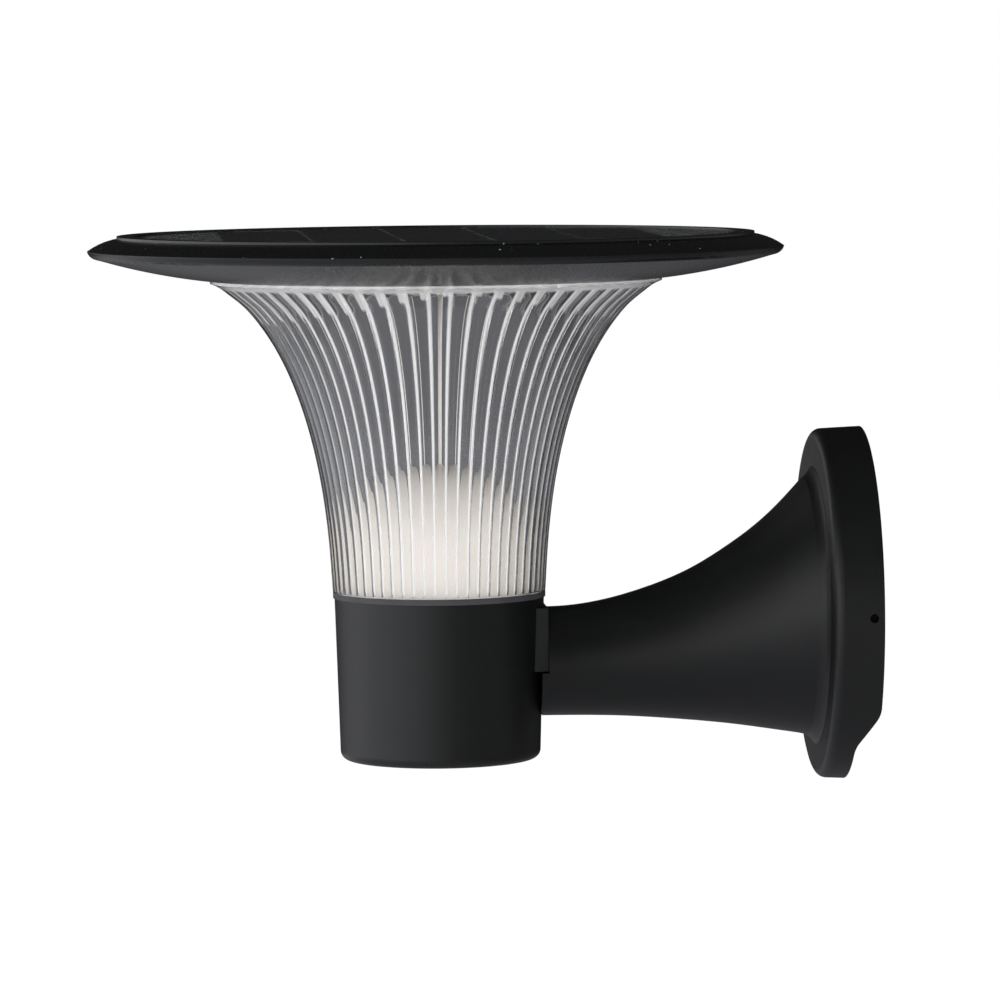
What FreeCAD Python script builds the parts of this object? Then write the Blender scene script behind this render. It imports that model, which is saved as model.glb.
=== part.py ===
# Solar wall light: a saucer head with a round solar panel, a fluted trumpet lens over an opal dome,
# a cup with the battery and switch, a trumpet-shaped arm and a round wall plate on a strip bracket.
# Origin: the wall plate's centre on the wall. +X runs out of the lamp into the wall, +Z is up.
import FreeCAD, Part
import math
import os

import Sketcher

Vector = FreeCAD.Vector
Rotation = FreeCAD.Rotation

# Driving sizes in millimetres
SIZES = {
    # Places
    "reach": 159.3,  # wall to the lamp's axis
    "rise": 4.7,  # cup's rim above the wall plate's centre
    "play": 0.3,  # between facing pieces
    "fit": 0.1,  # round a screw in its pilot hole
    "overrun": 1.0,  # of a cut past its solid
    # Wall plate
    "plate_radius": 66.5,
    "plate_face_radius": 65.7,
    "plate_depth": 18.0,
    "plate_edge": 3.5,  # rounding of the front corner
    "plate_wall": 2.5,
    "relief_depth": 8.0,  # of the relief in the rim's rear edge
    "relief_start": 37.0,  # its start below the centre, at the wall
    "relief_slope": 13.4,  # height over which it reaches its depth
    "plate_screw_ring": 30.0,
    # Strip bracket
    "strip_width": 24.0,
    "strip_thickness": 1.5,
    "strip_bend": 0.5,  # inner radius of its two bends
    "tab_length": 9.0,
    "slot_spacing": 70.0,
    "slot_width": 5.0,
    "slot_length": 12.0,
    "grub_inset": 3.8,  # side screw's axis in front of the wall
    "grub_diameter": 3.0,
    "grub_length": 6.0,
    # Arm
    "arm_root_radius": 52.3,
    "arm_tip_radius": 20.5,
    "arm_root_drop": 0.8,  # lip's centre below the plate's
    "arm_tip_drop": 20.3,
    "arm_wall": 2.5,
    "arm_end_wall": 3.0,
    "arm_boss_radius": 4.4,
    "arm_boss_length": 11.0,
    "arm_tongue": 2.6,  # reach of its lower half past the pad
    "arm_screw_spread": 9.0,
    "arm_screw_drop": 20.2,  # below the cup's rim
    # Cup
    "cup_height": 61.0,
    "cup_radius": 39.3,
    "cup_foot_radius": 37.5,
    "cup_edge": 3.4,
    "cup_wall": 2.6,
    "cup_floor": 2.4,
    "pad_reach": 39.7,  # saddle pad's face from the lamp's axis
    "pad_width": 34.6,
    "pad_height": 23.8,
    "pad_drop": 3.6,  # below the rim
    "ledge_drop": 4.5,
    "ledge_thickness": 2.5,
    "ledge_bore": 26.0,
    "post_length": 5.0,
    "post_radius": 3.0,
    "post_ring": 28.6,
    # Bottom cover and its switch
    "cover_radius": 31.0,
    "cover_thickness": 2.4,
    "cover_ledge": 2.2,
    "cover_seal_thickness": 0.8,
    "cover_seal_width": 1.5,
    "cover_screw_ring": 27.2,
    "cover_boss_radius": 3.6,
    "cover_boss_length": 6.0,
    "button_radius": 5.0,
    "button_proud": 1.5,
    "button_travel": 1.5,
    "button_play": 0.15,
    "button_flange": 0.9,  # step from the cap to its flange
    "button_flange_thickness": 1.2,
    "guide_wall": 1.6,
    "stop_gap": 0.1,
    "plunger_radius": 1.6,
    "plunger_length": 6.0,
    "switch_width": 14.0,
    "switch_height": 7.5,
    "switch_gap": 0.5,
    "switch_board_width": 18.0,
    # Battery and boards
    "cell_radius": 9.2,
    "cell_length": 50.0,
    "cell_button_radius": 3.0,
    "cell_button_height": 1.2,
    "holder_wall": 1.4,
    "holder_gap": 2.5,
    "contact_thickness": 0.5,
    "holder_post_radius": 2.5,
    "holder_post_x": 7.0,
    "holder_post_y": 19.0,
    "board_thickness": 1.6,
    "board_radius": 32.0,
    # Light source
    "tray_thickness": 2.0,
    "led_board_radius": 26.0,
    "led_width": 2.8,
    "led_length": 3.5,
    "led_height": 0.8,
    "led_outer_ring": 21.5,
    "led_inner_ring": 12.0,
    "dome_radius": 34.0,
    "dome_waist": 18.0,  # straight part above its foot
    "dome_cap": 32.7,  # height of its rounded cap
    "dome_wall": 1.5,
    "lead_diameter": 2.9,
    "lead_hole": 5.2,
    # Lens
    "lens_height": 118.1,
    "lens_foot_radius": 39.9,
    "lens_neck_radius": 84.4,
    "lens_wall": 2.4,
    "lens_foot_band": 2.7,  # smooth ring under the ribs
    "lens_flange_rise": 3.4,
    "crown_land": 2.0,  # smooth ring above the ribs
    "neck_ear_radius": 2.8,  # round the lens's screw holes
    "lens_spigot_wall": 2.0,
    "lens_inner_flange": 1.8,  # thickness of the ring held down by the tray
    "rib_land": 0.4,  # between the bores at both ends and the ribs' valleys
    "foot_seal_width": 1.0,
    # Head
    "head_radius": 130.0,
    "rim_rise": 12.5,  # parting line above the lens's neck
    "tip_drop": 3.0,  # rounded tip below the parting line
    "tip_width": 3.5,
    "neck_lift": 1.1,  # shell's lower corner above the neck
    "shell_wall": 2.5,
    "shell_floor": 2.2,
    "neck_seal_thickness": 0.8,
    "neck_seal_width": 1.6,
    "neck_screw_inset": 3.9,
    "socket_wall": 2.6,
    "land_width": 8.0,
    "shell_seal_width": 2.0,
    "shell_seal_height": 1.0,
    "crown_width": 11.0,  # from the rim to the raised ring
    "ring_rise": 5.5,  # ring's top above the parting line
    "ring_step": 1.0,
    "bezel_width": 6.7,  # raised ring's flat top
    "glass_thickness": 3.0,
    "glass_recess": 0.5,
    "seat_width": 9.0,
    "seat_thickness": 2.6,
    "cell_thickness": 0.4,
    "cell_column": 31.0,
    "cell_gap": 1.4,
    "cell_margin": 5.0,
    "shell_boss_sink": 1.2,  # under its pilot hole
    "shell_boss_radius": 3.8,
    "terminal_width": 16.0,
    "terminal_height": 4.6,
    "grommet_radius": 5.6,
    "grommet_lip": 1.0,
    # Screws
    "small_screw_radius": 1.3,
    "small_head_radius": 2.5,
    "small_head_height": 1.5,
    "arm_screw_radius": 2.0,
    "arm_head_radius": 3.4,
    "arm_head_height": 2.4,
}

# Counts
RIBS = 60
SHELL_SCREWS = 6
NECK_SCREWS = 6
TRAY_SCREWS = 3
BOARD_SCREWS = 3
COVER_SCREWS = 3
PLATE_SCREWS = 3
OUTER_LED_COUNT = 14
INNER_LED_COUNT = 7

# Lens wall from foot to neck: share of the height, share of the step from foot to neck radius
LENS_SHARES = (
    (0.0, 0.0),
    (0.147, 0.025),
    (0.342, 0.087),
    (0.538, 0.200),
    (0.693, 0.340),
    (0.810, 0.494),
    (0.888, 0.636),
    (0.927, 0.728),
    (0.966, 0.853),
    (0.992, 0.949),
    (1.0, 1.0),
)
RIB_DEPTH_SHARE = 0.17  # of the rib's width
# Arm from the pad to the wall plate: share of its length, of the radius step and of the climb
ARM_SHARES = (
    (0.0185, 0.0, 0.0),
    (0.129, 0.0145, 0.018),
    (0.2795, 0.069, 0.084),
    (0.4134, 0.150, 0.169),
    (0.548, 0.260, 0.287),
    (0.682, 0.411, 0.457),
    (0.7726, 0.533, 0.590),
    (0.862, 0.678, 0.754),
    (0.930, 0.806, 0.908),
    (0.963, 0.874, 0.985),
)
# The arm's flared lip, from the trumpet's end to the plate, in the same shares
LIP_SHARES = (
    ARM_SHARES[-1],
    (0.983, 0.924, 0.992),
    (1.0, 1.0, 1.0),
)
# Head's curved outlines: place of the middle point between two corners, across and up
UNDERSIDE_SHARES = (0.52, 0.40)
TIP_SHARES = (0.75, 0.45)
CROWN_SHARES = (0.45, 0.62)
RELIEF_ROUND = 0.2  # of the relief's slope, rounded at each end

doc = FreeCAD.newDocument("SolarWallLight")
sheet = doc.addObject("Spreadsheet::Sheet", "sizes")


class Size:
    """A length: its formula in the sheet's names, and its value."""

    def __init__(self, formula, value):
        self.formula = formula
        self.value = value

    def __add__(self, other):
        return joined(self, "+", other)

    def __sub__(self, other):
        return joined(self, "-", other)

    def __rsub__(self, other):
        return joined(other, "-", self)

    def __mul__(self, other):
        return joined(self, "*", other)

    def __truediv__(self, other):
        return joined(self, "/", other)

    def __neg__(self):
        return joined(0.0, "-", self)


def read(thing):
    """Formula and value of a size or a plain share."""
    if isinstance(thing, Size):
        return thing.formula, thing.value
    return repr(float(thing)), float(thing)


def joined(left, sign, right):
    (left_formula, a), (right_formula, b) = read(left), read(right)
    results = {"+": a + b, "-": a - b, "*": a * b, "/": a / b if b else 0.0}
    return Size(f"({left_formula} {sign} {right_formula})", results[sign])


def root_of(square):
    return Size(f"sqrt({square.formula})", math.sqrt(square.value))


def fill_sheet():
    """Writes every driving size with its alias and returns the sizes by name."""
    named = {}
    for row, (name, value) in enumerate(SIZES.items(), start=1):
        sheet.set(f"A{row}", name)
        sheet.set(f"B{row}", str(value))
        sheet.setAlias(f"B{row}", name)
        named[name] = Size(f"sizes.{name}", value)
    doc.recompute()
    return named


S = fill_sheet()
play, overrun, fit = S["play"], S["overrun"], S["fit"]

# Heights of the stacked pieces
rim = S["rise"]
base = rim - S["cup_height"]
ledge = rim - S["ledge_drop"]
ledge_under = ledge - S["ledge_thickness"]
cover_inside = base + S["cover_thickness"]
seal_seat = cover_inside + S["cover_seal_thickness"]
floor_top = seal_seat + S["cup_floor"]
flange_seat = cover_inside + S["stop_gap"]
flange_top = flange_seat + S["button_flange_thickness"]
switch_under = flange_top + S["button_travel"] + S["switch_gap"]
switch_top = switch_under + S["switch_height"]
switch_board_top = switch_top + S["board_thickness"]
holder_under = switch_board_top + S["holder_gap"]
cell_height = holder_under + S["holder_wall"] + play + S["cell_radius"]
board_top = ledge_under - S["post_length"]
board_under = board_top - S["board_thickness"]
tray_under = ledge + S["lens_inner_flange"]
tray_top = tray_under + S["tray_thickness"]
led_board_top = tray_top + S["board_thickness"]
neck = rim + S["lens_height"]
lens_top = neck + S["lens_flange_rise"]
floor_under = lens_top + S["neck_seal_thickness"]
shell_floor_top = floor_under + S["shell_floor"]
parting = neck + S["rim_rise"]
ring_top = parting + S["ring_rise"]
glass_top = ring_top - S["glass_recess"]
glass_under = glass_top - S["glass_thickness"]
panel_top = glass_under - S["cell_thickness"]
panel_under = panel_top - S["board_thickness"]
seat_under = panel_under - S["seat_thickness"]

# Places and radii that several pieces share
ring_radius = S["head_radius"] - S["crown_width"]
panel_bore = ring_radius - S["bezel_width"]
glass_radius = panel_bore - play
lamp_x = -S["reach"]
pad_x = lamp_x + S["pad_reach"]
pad_top = rim - S["pad_drop"]
pad_under = pad_top - S["pad_height"]
plate_face_x = -S["plate_depth"]
cup_bore = S["cup_radius"] - S["cup_wall"]
spigot_radius = cup_bore - play
spigot_bore = spigot_radius - S["lens_spigot_wall"]
tray_radius = spigot_bore - play
tray_screw_ring = S["ledge_bore"] + S["post_radius"]
cover_opening = S["cover_radius"] + play - S["cover_ledge"]
foot_bore = S["cup_foot_radius"] - S["cup_wall"]
seat_half = S["arm_screw_spread"] + S["arm_head_radius"] + overrun
arm_seat = root_of(foot_bore * foot_bore - seat_half * seat_half)
neck_screw_ring = S["lens_neck_radius"] - S["neck_screw_inset"]
socket_radius = S["lens_neck_radius"] + play
seat_bore = panel_bore - S["seat_width"]
shell_screw_ring = panel_bore - S["seat_width"] / 2
arm_screw_z = rim - S["arm_screw_drop"]
lead_radius = S["lead_diameter"] / 2
flange_radius = S["button_radius"] + S["button_flange"]
guide_bore = flange_radius + S["button_play"] * 2
centre_y = Size("0", 0.0)

nodes = []


def bind(thing, path, size):
    thing.setExpression(path, read(size)[0])


def place(thing, x=0.0, y=0.0, z=0.0, rotation=None):
    """Puts an object at bound coordinates, turned by rotation."""
    at = Vector(read(x)[1], read(y)[1], read(z)[1])
    thing.Placement = FreeCAD.Placement(at, rotation or Rotation())
    for name, size in (("x", x), ("y", y), ("z", z)):
        if isinstance(size, Size):
            bind(thing, f".Placement.Base.{name}", size)


def node(thing, label):
    """Names a finished sub-part, whose label names its file."""
    thing.Label = label
    nodes.append(thing)
    return thing


def new_body(label, x=0.0):
    body = node(doc.addObject("PartDesign::Body", f"{label}_body"), label)
    place(body, x)
    return body


def lamp_body(label):
    return new_body(label, lamp_x)


def new_sketch(body, role, offset=0.0):
    """A sketch on one of the body's own planes, moved along the plane's normal."""
    made = body.newObject("Sketcher::SketchObject", "outline")
    planes = [item for item in body.Origin.OriginFeatures if item.Role == role]
    made.AttachmentSupport = [(planes[0], "")]
    made.MapMode = "FlatFace"
    if isinstance(offset, Size):
        made.AttachmentOffset = FreeCAD.Placement(Vector(0, 0, offset.value), Rotation())
        bind(made, ".AttachmentOffset.Base.z", offset)
    return made


def hold_point(sketch, item, end, x, y):
    """Ties one point of a sketch to its place, in bound sizes."""
    for kind, line, size in (("DistanceX", -2, x), ("DistanceY", -1, y)):
        if isinstance(size, Size):
            index = sketch.addConstraint(Sketcher.Constraint(kind, -1, 1, item, end, size.value))
            bind(sketch, f"Constraints[{index}]", size)
        else:
            sketch.addConstraint(Sketcher.Constraint("PointOnObject", item, end, line))


def middle(first, last, shares):
    """A point between two corners, at shares of the way across and up."""
    across, up = shares
    return (
        first[0] + (last[0] - first[0]) * across,
        first[1] + (last[1] - first[1]) * up,
        "arc",
    )


def flat(point):
    return Vector(read(point[0])[1], read(point[1])[1], 0)


def arc_between(start, via, end):
    """A counter-clockwise arc through three points, and whether it runs from start to end."""
    circle = Part.Arc(start, via, end).toShape().Curve
    centre = circle.Center
    turns_left = (via - start).cross(end - via).z > 0
    first, last = (start, end) if turns_left else (end, start)
    angles = [math.atan2(p.y - centre.y, p.x - centre.x) for p in (first, last)]
    upright = Part.Circle(centre, Vector(0, 0, 1), circle.Radius)
    return Part.ArcOfCircle(upright, *angles), turns_left


def outline(sketch, path):
    """Closes straight runs through path; a point marked arc bends the run between its neighbours."""
    corners = [i for i, point in enumerate(path) if len(point) == 2]
    ends = []
    for order, here in enumerate(corners):
        there = corners[(order + 1) % len(corners)]
        start, end = path[here], path[there]
        between = path[(here + 1) % len(path)]
        if len(between) == 2:
            item = sketch.addGeometry(Part.LineSegment(flat(start), flat(end)), False)
            ends.append((item, 1, 2))
            continue
        arc, forward = arc_between(flat(start), flat(between), flat(end))
        item = sketch.addGeometry(arc, False)
        ends.append((item, 1, 2) if forward else (item, 2, 1))
        mark = sketch.addGeometry(Part.Point(flat(between)), True)
        hold_point(sketch, mark, 1, between[0], between[1])
        sketch.addConstraint(Sketcher.Constraint("PointOnObject", mark, 1, item))
    for order, (item, start_end, far_end) in enumerate(ends):
        following = ends[(order + 1) % len(ends)]
        sketch.addConstraint(
            Sketcher.Constraint("Coincident", item, far_end, following[0], following[1])
        )
        corner = path[corners[order]]
        hold_point(sketch, item, start_end, corner[0], corner[1])
    return sketch


def discs(sketch, places, radius):
    """Circles of one radius at bound places."""
    for x, y in places:
        circle = Part.Circle(flat((x, y)), Vector(0, 0, 1), read(radius)[1])
        item = sketch.addGeometry(circle, False)
        hold_point(sketch, item, 3, x, y)
        index = sketch.addConstraint(Sketcher.Constraint("Radius", item, radius.value))
        bind(sketch, f"Constraints[{index}]", radius)
    return sketch


def turned(body, path, axis="V_Axis"):
    """Revolves an outline in the body's XZ plane about the lamp's axis or the wall's normal."""
    sketch = outline(new_sketch(body, "XZ_Plane"), path)
    made = body.newObject("PartDesign::Revolution", "turned")
    made.Profile = sketch
    made.ReferenceAxis = (sketch, [axis])
    made.Angle = 360
    sketch.Visibility = False
    return made


def raised(body, sketch, length, reverse=False, both_ways=False):
    made = body.newObject("PartDesign::Pad", "raised")
    made.Profile = sketch
    made.Length = length.value
    bind(made, "Length", length)
    made.Reversed = reverse
    made.SideType = "Symmetric" if both_ways else "One side"
    return made


def sunk(body, sketch, length, up=False, both_ways=False):
    """Cuts along a sketch's normal when up, and against it otherwise."""
    made = body.newObject("PartDesign::Pocket", "sunk")
    made.Profile = sketch
    made.Length = length.value
    bind(made, "Length", length)
    made.Reversed = up
    made.SideType = "Symmetric" if both_ways else "One side"
    return made


def repeated(body, feature, count, role="Z_Axis"):
    """Copies a feature evenly round one of the body's own axes."""
    made = body.newObject("PartDesign::PolarPattern", "repeated")
    axes = [item for item in body.Origin.OriginFeatures if item.Role == role]
    made.Originals = [feature]
    made.Axis = (axes[0], [""])
    made.Angle = 360
    made.Occurrences = count
    body.Tip = made
    return made


def rounded(body, radius, chosen):
    """Rounds the edges of the body's last feature that chosen picks out."""
    doc.recompute()
    last = body.Tip
    edges = [f"Edge{i}" for i, edge in enumerate(last.Shape.Edges, start=1) if chosen(edge)]
    made = body.newObject("PartDesign::Fillet", "rounded")
    made.Base = (last, edges)
    made.Radius = radius.value
    bind(made, "Radius", radius)
    return made


def ring_edge(radius, height, axis="z"):
    """Picks circular edges of a radius at a height along an axis."""

    def chosen(edge):
        curve = edge.Curve
        if not isinstance(curve, Part.Circle):
            return False
        along = getattr(curve.Center, axis)
        return (
            abs(curve.Radius - read(radius)[1]) < read(fit)[1]
            and abs(along - read(height)[1]) < read(fit)[1]
        )

    return chosen


def spots(ring, count, turn_share=0.0):
    """Places evenly round a ring, the first turned by a share of a full turn."""
    found = []
    for i in range(count):
        angle = math.tau * (i / count + turn_share)
        found.append((ring * math.cos(angle), ring * math.sin(angle)))
    return found


def cylinder(radius, length, x, y, z, rotation=None):
    made = doc.addObject("Part::Cylinder", "round_bar")
    made.Radius = read(radius)[1]
    made.Height = read(length)[1]
    bind(made, "Radius", radius)
    bind(made, "Height", length)
    place(made, x, y, z, rotation)
    return made


def block(size_x, size_y, size_z, x, y, z):
    """A box with x, y as its centre and z as its underside."""
    made = doc.addObject("Part::Box", "block")
    for name, size in (("Length", size_x), ("Width", size_y), ("Height", size_z)):
        setattr(made, name, read(size)[1])
        bind(made, name, size)
    place(made, x - size_x / 2, y - size_y / 2, z)
    return made


def grouped(label, things):
    made = doc.addObject("Part::Compound", f"{label}_group")
    made.Links = things
    return node(made, label)


def fused(things):
    made = doc.addObject("Part::MultiFuse", "fused")
    made.Shapes = things
    return made


def cut_from(thing, tools):
    """Takes several tools away from an object."""
    made = doc.addObject("Part::Cut", "cut")
    made.Base = thing
    made.Tool = tools[0] if len(tools) == 1 else fused(tools)
    return made


def screw(kind, length, x, y, z, rotation=None):
    """A pan-head screw whose head's seat is at the place and whose shank runs along its axis."""
    shank = cylinder(S[f"{kind}_screw_radius"], length, x, y, z, rotation)
    head = cylinder(S[f"{kind}_head_radius"], S[f"{kind}_head_height"], x, y, z, rotation)
    turn = rotation or Rotation()
    back = turn.multVec(Vector(0, 0, -1))
    rise = S[f"{kind}_head_height"]
    place(head, x + rise * back.x, y + rise * back.y, z + rise * back.z, rotation)
    return fused([shank, head])


def at_lamp(place_list):
    return [(lamp_x + x, y) for x, y in place_list]


# Wall plate and bracket
def plate_bore_at(depth):
    """Inner radius of the plate's rim at a depth in front of the wall."""
    taper = S["plate_radius"] - S["plate_face_radius"]
    return S["plate_radius"] - taper * depth / S["plate_depth"] - S["plate_wall"]


def make_wall_plate():
    body = new_body("wall_plate")
    inside = plate_face_x + S["plate_wall"]
    turned(
        body,
        [
            (plate_face_x, 0),
            (plate_face_x, S["plate_face_radius"]),
            (0, S["plate_radius"]),
            (0, S["plate_radius"] - S["plate_wall"]),
            (inside, plate_bore_at(S["plate_depth"] - S["plate_wall"])),
            (inside, 0),
        ],
        "H_Axis",
    )
    rounded(body, S["plate_edge"], ring_edge(S["plate_face_radius"], plate_face_x, "x"))
    low = -(S["plate_radius"] + overrun)
    relief_full = S["relief_start"] + S["relief_slope"]
    bend = S["relief_slope"] * RELIEF_ROUND
    sketch = outline(
        new_sketch(body, "XZ_Plane"),
        [
            (overrun, bend - S["relief_start"]),
            (0, bend - S["relief_start"]),
            (-S["relief_depth"] * (RELIEF_ROUND / 4), -S["relief_start"], "arc"),
            (-S["relief_depth"] * RELIEF_ROUND, -(bend + S["relief_start"])),
            (-S["relief_depth"] * (1 - RELIEF_ROUND), bend - relief_full),
            (-S["relief_depth"] * (1 - RELIEF_ROUND / 4), -relief_full, "arc"),
            (-S["relief_depth"], -(bend + relief_full)),
            (-S["relief_depth"], low),
            (overrun, low),
        ],
    )
    sunk(body, sketch, (S["plate_radius"] + overrun) * 2, both_ways=True)
    holes = discs(
        new_sketch(body, "XZ_Plane"), [(-S["grub_inset"], 0)], S["grub_diameter"] / 2 + fit
    )
    sunk(body, holes, (S["plate_radius"] + overrun) * 2, both_ways=True)
    screw_holes = discs(
        new_sketch(body, "YZ_Plane", plate_face_x - overrun),
        plate_screw_places(),
        S["small_screw_radius"] + fit,
    )
    sunk(body, screw_holes, S["plate_wall"] + overrun * 2, up=True)


def plate_screw_places():
    """Screws between plate and arm, as Y and Z about the arm's foot."""
    ring = S["plate_screw_ring"]
    return [(y, z - S["arm_root_drop"]) for y, z in spots(ring, PLATE_SCREWS, 0.25)]


def make_plate_screws():
    towards_arm = Rotation(Vector(0, 0, 1), Vector(-1, 0, 0))
    seat = plate_face_x + S["plate_wall"]
    length = S["plate_wall"] + S["arm_boss_length"] - overrun
    things = [screw("small", length, seat, y, z, towards_arm) for y, z in plate_screw_places()]
    grouped("plate_screws", things)


def tab_place():
    """Outer face of the bracket's bent tabs, from the plate's middle plane."""
    bore = plate_bore_at(S["tab_length"]) - play
    half = S["strip_width"] / 2
    return root_of(bore * bore - half * half)


def make_wall_bracket():
    body = new_body("wall_bracket")
    out = tab_place()
    thick = S["strip_thickness"]
    near = out - thick
    sketch = outline(
        new_sketch(body, "XY_Plane"),
        [
            (0, -out),
            (-S["tab_length"], -out),
            (-S["tab_length"], -near),
            (-thick, -near),
            (-thick, near),
            (-S["tab_length"], near),
            (-S["tab_length"], out),
            (0, out),
        ],
    )
    raised(body, sketch, S["strip_width"], both_ways=True)

    def bend(radius, across):
        def chosen(edge):
            ends = [vertex.Point for vertex in edge.Vertexes]
            if len(ends) != 2 or abs(ends[0].z - ends[1].z) < S["strip_width"].value / 2:
                return False
            wanted = (-read(across)[1], out.value - read(across)[1])
            gap = math.hypot(ends[0].x - wanted[0], abs(ends[0].y) - wanted[1])
            return gap < fit.value

        rounded(body, radius, chosen)

    bend(S["strip_bend"], thick)
    bend(S["strip_bend"] + thick, 0)
    slot_half = S["slot_length"] / 2 - S["slot_width"] / 2
    slots = new_sketch(body, "YZ_Plane", overrun)
    for side in (-1, 1):
        slot(slots, S["slot_spacing"] * (side / 2), slot_half, S["slot_width"] / 2)
    sunk(body, slots, thick + overrun * 2)
    holes = discs(
        new_sketch(body, "XZ_Plane"), [(-S["grub_inset"], 0)], S["grub_diameter"] / 2 + fit
    )
    sunk(body, holes, (out + overrun) * 2, both_ways=True)


def slot(sketch, middle_y, half, radius):
    """A slot of two half rounds and two straight runs, along the sketch's first axis."""
    left, right = middle_y - half, middle_y + half
    outline(
        sketch,
        [
            (left, -radius),
            (right, -radius),
            (right + radius, 0, "arc"),
            (right, radius),
            (left, radius),
            (left - radius, 0, "arc"),
        ],
    )


def make_side_screws():
    out = plate_bore_at(S["grub_inset"]) + S["plate_wall"]
    length = S["grub_length"]
    things = []
    for side in (-1, 1):
        turn = Rotation(Vector(0, 0, 1), Vector(0, -side, 0))
        start = (out - S["plate_wall"] / 2) * side
        things.append(cylinder(S["grub_diameter"] / 2, length, -S["grub_inset"], start, 0, turn))
    grouped("side_screws", things)


# Arm
def arm_loft(shrink, first_x, last_x):
    """A trumpet through round sections and its flared lip, thinner by shrink, between two places on X."""
    length = plate_face_x.value - pad_x.value
    step = S["arm_root_radius"].value - S["arm_tip_radius"].value
    climb = S["arm_tip_drop"].value - S["arm_root_drop"].value

    def section(x, radius_share, climb_share):
        radius = S["arm_tip_radius"].value + step * radius_share - shrink
        centre = Vector(x, 0, climb * climb_share - S["arm_tip_drop"].value)
        return Part.Wire(Part.makeCircle(radius, centre, Vector(1, 0, 0)))

    def sections(shares):
        places = [(pad_x.value + length * along, *rest) for along, *rest in shares]
        return [section(*spot) for spot in places if spot[0] > first_x + overrun.value]

    trumpet = [section(first_x, *ARM_SHARES[0][1:])] + sections(ARM_SHARES)
    lip = sections(LIP_SHARES)
    shape = Part.makeLoft(trumpet, True, False).fuse(Part.makeLoft(lip, True, False))
    if last_x > plate_face_x.value:
        mouth = lip[-1].Edges[0].Curve
        extra = Part.makeCylinder(mouth.Radius, last_x - plate_face_x.value, mouth.Center, Vector(1, 0, 0))
        shape = shape.fuse(extra)
    return shape


def arm_screw_places():
    return [(S["arm_screw_spread"] * side, arm_screw_z) for side in (-1, 1)]


def boss_web(y, z):
    """A thin web from one of the plate's screw bosses out through the arm's wall."""
    reach = S["arm_boss_length"].value
    thick = S["arm_wall"].value
    ring = S["plate_screw_ring"].value
    web = Part.makeBox(reach, thick, S["arm_root_radius"].value - ring)
    web.translate(Vector(-reach, -thick / 2, ring))
    web.rotate(Vector(0, 0, 0), Vector(1, 0, 0), math.degrees(math.atan2(-y, z)))
    web.translate(Vector(plate_face_x.value, 0, -S["arm_root_drop"].value))
    return web


def make_arm():
    """A hollow trumpet, open at the wall plate, whose closed tip is cut to the cup and its pad."""
    tongue_x = pad_x.value - S["arm_tongue"].value
    outside = arm_loft(0, tongue_x, plate_face_x.value)
    end_x = pad_x.value + S["arm_end_wall"].value
    inside = arm_loft(S["arm_wall"].value, end_x, plate_face_x.value + overrun.value)
    bosses = []
    pilots = []
    reach = S["arm_boss_length"].value
    small = S["small_screw_radius"].value + fit.value
    for y, z in plate_screw_places():
        spot = Vector(plate_face_x.value, y.value, z.value)
        bosses.append(Part.makeCylinder(S["arm_boss_radius"].value, reach, spot, Vector(-1, 0, 0)))
        bosses.append(boss_web(y.value, z.value + S["arm_root_drop"].value))
        pilots.append(Part.makeCylinder(small, reach - overrun.value, spot, Vector(-1, 0, 0)))
    large = S["arm_screw_radius"].value + fit.value
    for y, z in arm_screw_places():
        spot = Vector(pad_x.value, read(y)[1], z.value)
        bosses.append(Part.makeCylinder(S["arm_boss_radius"].value, reach, spot, Vector(1, 0, 0)))
        pilots.append(Part.makeCylinder(large, reach - overrun.value, spot, Vector(1, 0, 0)))
    shape = outside.cut(inside)
    for boss in bosses:
        shape = shape.fuse(boss.common(outside))
    lamp = Vector(lamp_x.value, 0, 0)
    margin = overrun.value
    upper = Part.makeBox(
        S["arm_tongue"].value + margin,
        S["cup_radius"].value * 2,
        rim.value - pad_under.value + play.value,
        Vector(tongue_x - margin, -S["cup_radius"].value, pad_under.value - play.value),
    )
    cup = Part.makeCone(
        S["cup_foot_radius"].value + play.value,
        S["cup_radius"].value + play.value,
        S["cup_height"].value,
        Vector(lamp.x, 0, base.value),
    )
    for tool in pilots + [upper, cup]:
        shape = shape.cut(tool)
    made = node(doc.addObject("Part::Feature", "arm_shape"), "arm")
    made.Shape = shape


def make_arm_screws():
    towards_wall = Rotation(Vector(0, 0, 1), Vector(1, 0, 0))
    seat = lamp_x + arm_seat
    length = pad_x + S["arm_boss_length"] - overrun * 2 - seat
    things = [screw("arm", length, seat, y, z, towards_wall) for y, z in arm_screw_places()]
    grouped("arm_screws", things)


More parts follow.
